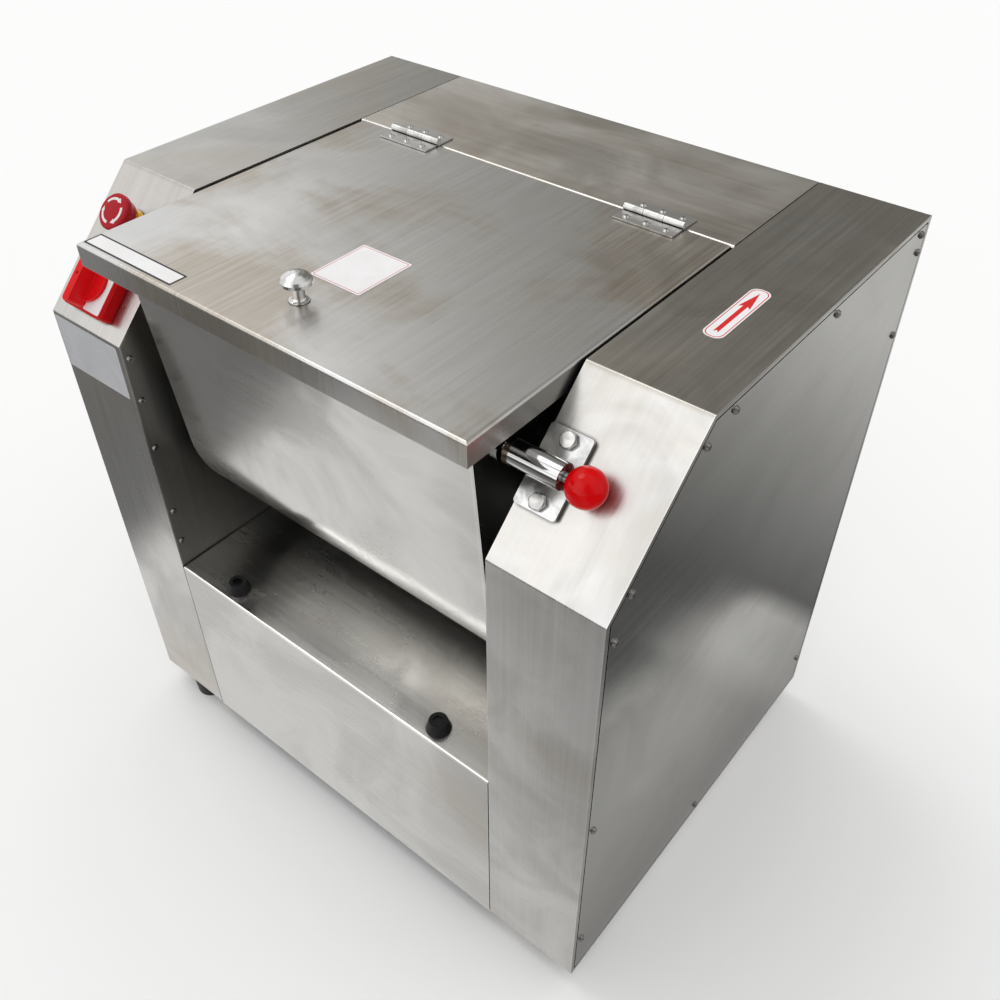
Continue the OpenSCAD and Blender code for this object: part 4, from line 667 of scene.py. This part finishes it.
arrow = [
    (middle - shaft, arrowLook["start"]), (middle, arrowLook["start"] + arrowLook["notch"]),
    (middle + shaft, arrowLook["start"]), (middle + shaft, neckEnd), (middle + head, barbEnd),
    (middle, arrowLook["tip"]), (middle - head, barbEnd), (middle - shaft, neckEnd)]
place = onTop(arrowStrip["corner"])
thinPlate("arrow", arrow, arrowLook["inkLow"], arrowLook["inkHigh"], place, redVinyl, "frame")

# Blank plate on the left cabinet's front
frontPlate = {"corner": (1.8, 504.5), "width": 105.5, "height": 62.5, "radius": 1.5, "steps": 4,
              "low": 0.02, "high": 0.35, "bevel": 0.1}
place = onFront(frontPlate["corner"])
outline = roundedOutline(frontPlate["width"], frontPlate["height"], frontPlate["radius"],
                         frontPlate["steps"])
thinPlate("front_plate", outline, frontPlate["low"], frontPlate["high"], place, silverVinyl,
          "frame", bevel=frontPlate["bevel"])

# White legend plate on the switch's housing, beside the dial
legend = {"switchX": -293.0, "switchAlong": 46.5, "faceHeight": 15.0, "x": (3.0, 28.3),
          "y": (-28.3, 28.3), "radius": 2.0, "thickness": 0.3, "bevel": 0.08}
fromDial = Matrix.Translation((legend["x"][0] * millimetre, legend["y"][0] * millimetre, 0))
place = onSlope(legend["switchX"], legend["switchAlong"], legend["faceHeight"]) @ fromDial
width, height = legend["x"][1] - legend["x"][0], legend["y"][1] - legend["y"][0]
outline = roundedOutline(width, height, legend["radius"])
thinPlate("switch_legend", outline, 0.0, legend["thickness"], place, whiteVinyl, "frame",
          bevel=legend["bevel"])
print("blank signs placed")

# Three curved arrows on the emergency stop, laid on its domed face
stopArrows = {"count": 3, "start": 30.0, "sweep": 74.0, "steps": 14, "inner": 11.1, "outer": 13.9,
              "headSweep": 24.0, "headSpread": 2.6, "headSteps": 5, "tip": 0.02, "lift": 0.12}
stopFace = {"x": -293.0, "along": 118.5, "height": 31.4, "flatRadius": 9.5, "flatDrop": 0.5,
            "rimSlope": 0.125}


def stopFaceDrop(r):
    # How far the domed face lies below its middle at radius r
    if r < stopFace["flatRadius"]:
        return stopFace["flatDrop"] * r / stopFace["flatRadius"]
    return stopFace["flatDrop"] + (r - stopFace["flatRadius"]) * stopFace["rimSlope"]


def curvedArrow(build, start, look):
    rows = []
    for i in range(look["steps"] + 1):
        a = math.radians(start - look["sweep"] * i / look["steps"])
        rows.append((a, look["inner"], look["outer"]))
    middle = (look["inner"] + look["outer"]) / 2
    for i in range(look["headSteps"] + 1):
        share = i / look["headSteps"]
        a = math.radians(start - look["sweep"] - look["headSweep"] * share)
        half = (look["outer"] - look["inner"] + look["headSpread"]) / 2 * (1 - share) + look["tip"]
        rows.append((a, middle - half, middle + half))
    previous = None
    for a, inner, outer in rows:
        pair = []
        for r in (inner, outer):
            point = (r * math.cos(a), r * math.sin(a), look["lift"] - stopFaceDrop(r))
            pair.append(build.verts.new([p * millimetre for p in point]))
        if previous:
            build.faces.new((previous[0], previous[1], pair[1], pair[0]))
        previous = pair


build = bmesh.new()
for turn in range(stopArrows["count"]):
    curvedArrow(build, stopArrows["start"] - 360 / stopArrows["count"] * turn, stopArrows)
place = onSlope(stopFace["x"], stopFace["along"], stopFace["height"])
finishPiece("stop_arrows", build, place, whiteInk, "estop_mushroom")


def looseParts(mesh, join):
    # Lowest and highest corner of each separate piece of a mesh, points closer than join being one
    build = bmesh.new()
    build.from_mesh(mesh)
    bmesh.ops.remove_doubles(build, verts=build.verts, dist=join)
    seen, parts = set(), []
    for vert in build.verts:
        if vert in seen:
            continue
        stack, points = [vert], []
        seen.add(vert)
        while stack:
            v = stack.pop()
            points.append(v.co.copy())
            for e in v.link_edges:
                o = e.other_vert(v)
                if o not in seen:
                    seen.add(o)
                    stack.append(o)
        low = [min(p[i] for p in points) for i in range(3)]
        high = [max(p[i] for p in points) for i in range(3)]
        parts.append((low, high))
    build.free()
    return parts


# Cross recesses in the cabinets' pan heads, drawn as flat crosses of painted shade just above each
# head, each turned by its own angle
recess = {"length": 3.4, "width": 0.75, "lift": 0.03, "crossLift": 0.01, "sidePlates": 0.3,
          "turnByY": 37, "turnByZ": 53, "turnSpan": 1.5, "join": 1e-6}
build = bmesh.new()
for low, high in looseParts(nodes["pan_screws"].data, recess["join"]):
    if low[0] > recess["sidePlates"]:
        outward = 1
    elif high[0] < -recess["sidePlates"]:
        outward = -1
    else:
        outward = -1 if low[0] > 0 else 1      # on the cabinets' inner front edges, facing the bowl
    x = (high[0] if outward > 0 else low[0]) + outward * recess["lift"] * millimetre
    y, z = (low[1] + high[1]) / 2, (low[2] + high[2]) / 2
    spin = (y * recess["turnByY"] + z * recess["turnByZ"]) % recess["turnSpan"]
    for quarter in (0, math.pi / 2):
        a = spin + quarter
        u = Vector((0, math.cos(a), math.sin(a))) * recess["length"] / 2 * millimetre
        v = Vector((0, -math.sin(a), math.cos(a))) * recess["width"] / 2 * millimetre
        middle = Vector((x + outward * quarter * recess["crossLift"] * millimetre, y, z))
        build.faces.new([build.verts.new(middle + p) for p in (u + v, v - u, -u - v, u - v)])
finishPiece("screw_recess_shade", build, Matrix.Identity(4), paintedRecessShade, "frame")

# The latch's spring, pressed between the pin's collar and the housing's cap: a fixed coil built in
# place of the model's spring
latchSpring = {"coils": 5, "wireRadius": 0.9, "steps": 24, "sides": 10, "travel": 12.0}
lowCorner, highCorner = (Vector(corner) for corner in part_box("latch_spring"))
springLength = highCorner.x - lowCorner.x
wire = latchSpring["wireRadius"] * millimetre
coilRadius = (highCorner.y - lowCorner.y) / 2 - wire
middle = (lowCorner + highCorner) / 2
ringCount = latchSpring["coils"] * latchSpring["steps"]
build = bmesh.new()
rings = []
for i in range(ringCount + 1):
    a = math.tau * i / latchSpring["steps"]
    x = lowCorner.x + wire + (springLength - 2 * wire) * i / ringCount
    ring = []
    for j in range(latchSpring["sides"]):
        b = math.tau * j / latchSpring["sides"]
        r = coilRadius + wire * math.cos(b)
        point = (x + wire * math.sin(b), middle.y + r * math.cos(a), middle.z + r * math.sin(a))
        ring.append(build.verts.new(point))
    rings.append(ring)
for one, other in zip(rings, rings[1:]):
    joinRows(build, one, other)
build.faces.new(rings[0])
build.faces.new(rings[-1])
spring = finishPiece("latch_spring_coil", build, Matrix.Identity(4), shaftSteel, "frame")
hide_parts("latch_spring")
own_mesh(spring)
print("small trim placed")


# Floor: pale paper for the camera and for dull surfaces
floorLook = {"half": 9.0, "colour": (0.93, 0.93, 0.925), "colourInMetal": (0.04, 0.04, 0.04),
             "fixed": {"Roughness": 0.9, "Specular IOR Level": 0.0}}
build = bmesh.new()
half = floorLook["half"]
corners = [(-half, -half, 0), (half, -half, 0), (half, half, 0), (-half, half, 0)]
build.faces.new([build.verts.new(corner) for corner in corners])
mesh = bpy.data.meshes.new("studioFloor")
build.to_mesh(mesh)
build.free()
studioFloor = bpy.data.objects.new("studioFloor", mesh)
bpy.context.scene.collection.objects.link(studioFloor)

# Painted reflection: to glossy rays only, the floor glows with a pattern of brightness in metres
# from the origin, which polished metal shows.
# In front lies bright paper, dimmer to each side and further off. On the drive side it is mid grey,
# with a lighter strip and a dark edge that fades out to the back.
paintedFloorReflection = {
    "bendScale": 3.0, "bendDetail": 2.0, "bendSwirl": 0.8, "bend": 0.22, "bendBehind": 0.2,
    "paperStart": 0.35, "paperReach": 0.42, "paper": (0.9, 0.41),
    "leftEdge": (-0.67, -0.6), "leftFade": (-1.65, -1.1), "left": (0.42, 0.2),
    "beyondEdge": (-1.0, -0.68), "beyond": 0.62,
    "cornerX": (0.16, 0.26), "cornerY": (-0.5, -0.38), "corner": 0.15,
    "slantStart": 0.45, "slant": 2.2, "darkEdge": (0.37, 0.42), "farReach": (0.35, 1.25),
    "far": (0.08, 0.68), "stripEdge": (0.2, 0.27), "strip": (0.46, 0.6), "wallReach": (0.36, 0.44),
    "wall": 0.6, "driveSide": (0.34, 0.36), "green": 0.99, "blue": 0.965, "strength": 0.92}
material, tree, shader, where = startMaterial("floorPaper", floorLook["fixed"])
path = addNode(tree, "ShaderNodeLightPath").outputs
bend = addNode(tree, "ShaderNodeTexNoise", {
    "Vector": where, "Scale": paintedFloorReflection["bendScale"], "Detail": paintedFloorReflection["bendDetail"],
    "Distortion": paintedFloorReflection["bendSwirl"]})
shift = maths(tree, "SUBTRACT", bend.outputs["Fac"], 0.5)      # the noise is 0.5 on average
shift = maths(tree, "MULTIPLY", shift, paintedFloorReflection["bend"])
place = addNode(tree, "ShaderNodeSeparateXYZ", {0: where}).outputs
alongX = maths(tree, "ADD", place["X"], shift)
alongY = maths(tree, "ADD", place["Y"], shift)
behindY = maths(tree, "ADD", place["Y"], maths(tree, "MULTIPLY", shift, paintedFloorReflection["bendBehind"]))

fromPaper = maths(tree, "SUBTRACT", alongX, maths(tree, "ADD", alongY, paintedFloorReflection["paperStart"]))
paper = mapRange(tree, fromPaper, 0.0, paintedFloorReflection["paperReach"], *paintedFloorReflection["paper"])
leftLevel = mapRange(tree, alongX, *paintedFloorReflection["leftFade"], *paintedFloorReflection["left"])
beside = mapRange(tree, alongX, *paintedFloorReflection["leftEdge"], leftLevel, 1.0)
beyond = mapRange(tree, alongY, *paintedFloorReflection["beyondEdge"], paintedFloorReflection["beyond"], 1.0)
corner = maths(tree, "MULTIPLY", mapRange(tree, alongX, *paintedFloorReflection["cornerX"]),
               mapRange(tree, alongY, *paintedFloorReflection["cornerY"]))
ahead = maths(tree, "MULTIPLY", maths(tree, "MULTIPLY", paper, beside), beyond)
ahead = maths(tree, "ADD", ahead, maths(tree, "MULTIPLY", corner, paintedFloorReflection["corner"]))

pastStart = maths(tree, "MAXIMUM", maths(tree, "SUBTRACT", alongX, paintedFloorReflection["slantStart"]), 0.0)
slant = maths(tree, "ADD", behindY, maths(tree, "MULTIPLY", pastStart, paintedFloorReflection["slant"]))
near = mapRange(tree, behindY, *paintedFloorReflection["stripEdge"], *paintedFloorReflection["strip"])
byWall = mapRange(tree, place["X"], *paintedFloorReflection["wallReach"], paintedFloorReflection["wall"], 1.0)
near = maths(tree, "MULTIPLY", near, byWall)
far = mapRange(tree, behindY, *paintedFloorReflection["farReach"], *paintedFloorReflection["far"])
driveSide = fade(tree, mapRange(tree, slant, *paintedFloorReflection["darkEdge"]), near, far)
level = fade(tree, mapRange(tree, place["X"], *paintedFloorReflection["driveSide"]), ahead, driveSide)
paintedReflectionGrey = addNode(tree, "ShaderNodeCombineColor", {
    0: level, 1: maths(tree, "MULTIPLY", level, paintedFloorReflection["green"]),
    2: maths(tree, "MULTIPLY", level, paintedFloorReflection["blue"])}).outputs[0]
# Painted reflection: glossy rays see the floor nearly black and glowing with the pattern above
floorColour = mixColour(tree, path["Is Glossy Ray"], floorLook["colour"],
                        floorLook["colourInMetal"])
tree.links.new(floorColour, shader.inputs["Base Color"])
tree.links.new(paintedReflectionGrey, shader.inputs["Emission Color"])
strength = maths(tree, "MULTIPLY", path["Is Glossy Ray"], paintedFloorReflection["strength"])
tree.links.new(strength, shader.inputs["Emission Strength"])
mesh.materials.append(material)

# Room: white to the camera, an even sky to dull surfaces, walls of several tones to polished metal.
# A wall is degrees round the room and a brightness: 0 is behind the machine, 90 its left, 180 ahead
roomSeen = {
    "walls": [(-180, 1.3), (-168, 1.0), (-152, 0.22), (-124, 0.2), (-108, 0.8), (-60, 0.8),
              (-20, 0.35), (0, 0.22), (27, 0.2), (31, 0.27), (40, 0.42), (46, 0.53), (48, 0.64),
              (50.5, 1.04), (60, 0.97), (100, 0.92), (118, 0.98), (135, 1.5), (148, 1.75),
              (165, 1.6), (180, 1.4)],
    "leanBelow": 0.44, "lean": 0.7, "warmth": 0.9, "green": 0.05, "blue": 0.17,
    "ceilingEdge": (0.76, 0.95), "ceiling": (0.8, 0.8, 0.795), "dullSky": (0.42, 1.16)}
world = bpy.data.worlds.new("studio")
bpy.context.scene.world = world
world.use_nodes = True
tree = world.node_tree
tree.nodes.clear()
direction = addNode(tree, "ShaderNodeTexCoord").outputs["Generated"]
parts = addNode(tree, "ShaderNodeSeparateXYZ", {0: direction}).outputs
turn = maths(tree, "ARCTAN2", maths(tree, "MULTIPLY", parts["X"], -1.0), parts["Y"])
below = maths(tree, "MAXIMUM", maths(tree, "SUBTRACT", roomSeen["leanBelow"], parts["Z"]), 0.0)
turn = maths(tree, "SUBTRACT", turn, maths(tree, "MULTIPLY", below, roomSeen["lean"]))
ramp = addNode(tree, "ShaderNodeValToRGB", {0: mapRange(tree, turn, -math.pi, math.pi)})
stops = ramp.color_ramp.elements
while len(stops) > 1:
    stops.remove(stops[-1])
for i, (degrees, level) in enumerate(roomSeen["walls"]):
    position = 0.5 + degrees / 360
    stop = stops[0] if i == 0 else stops.new(position)
    stop.position = position
    warmth = max(0.0, min(1.0, (1.0 - level) * roomSeen["warmth"]))
    green = level * (1 - roomSeen["green"] * warmth)
    blue = level * (1 - roomSeen["blue"] * warmth)
    stop.color = (level, green, blue, 1.0)
ceiling = mapRange(tree, parts["Z"], *roomSeen["ceilingEdge"], smooth=True)
roomColour = mixColour(tree, ceiling, ramp.outputs[0], roomSeen["ceiling"])
path = addNode(tree, "ShaderNodeLightPath").outputs
dullLight = mapRange(tree, parts["Z"], 0.0, 1.0, *roomSeen["dullSky"])
dullColour = addNode(tree, "ShaderNodeCombineColor", dict.fromkeys(range(3), dullLight)).outputs[0]
lit = mixColour(tree, path["Is Glossy Ray"], dullColour, roomColour)
seen = mixColour(tree, path["Is Camera Ray"], lit, (1.0, 1.0, 1.0))
background = addNode(tree, "ShaderNodeBackground", {"Color": seen, "Strength": 1.0})
tree.links.new(background.outputs[0], addNode(tree, "ShaderNodeOutputWorld").inputs["Surface"])

sun = {"strength": 0.5, "angle": 30.0, "from": (-0.5, 0.0, 0.866)}
sunData = bpy.data.lights.new("softSun", "SUN")
sunData.energy = sun["strength"]
sunData.angle = math.radians(sun["angle"])
softSun = bpy.data.objects.new("softSun", sunData)
softSun.rotation_euler = Vector(sun["from"]).to_track_quat("Z", "Y").to_euler()
bpy.context.scene.collection.objects.link(softSun)

# Camera fitted to the photograph's corners
shot = {"position": (0.59984, -0.69977, 1.16850), "right": (0.77785, 0.62845, -0.00054),
        "up": (-0.41810, 0.51814, 0.74614), "forward": (-0.46919, 0.58016, -0.66579), "lens": 36.94,
        "sensor": 36.0, "nearest": 0.01}
cameraData = bpy.data.cameras.new("shot")
cameraData.lens = shot["lens"]
cameraData.sensor_width = shot["sensor"]
cameraData.clip_start = shot["nearest"]
camera = bpy.data.objects.new("shot", cameraData)
rows = [(shot["right"][i], shot["up"][i], -shot["forward"][i], shot["position"][i])
        for i in range(3)]
camera.matrix_world = Matrix((*rows, (0, 0, 0, 1)))
bpy.context.scene.collection.objects.link(camera)
bpy.context.scene.camera = camera
bpy.context.scene.view_settings.view_transform = "Standard"
print("floor, light and camera set")
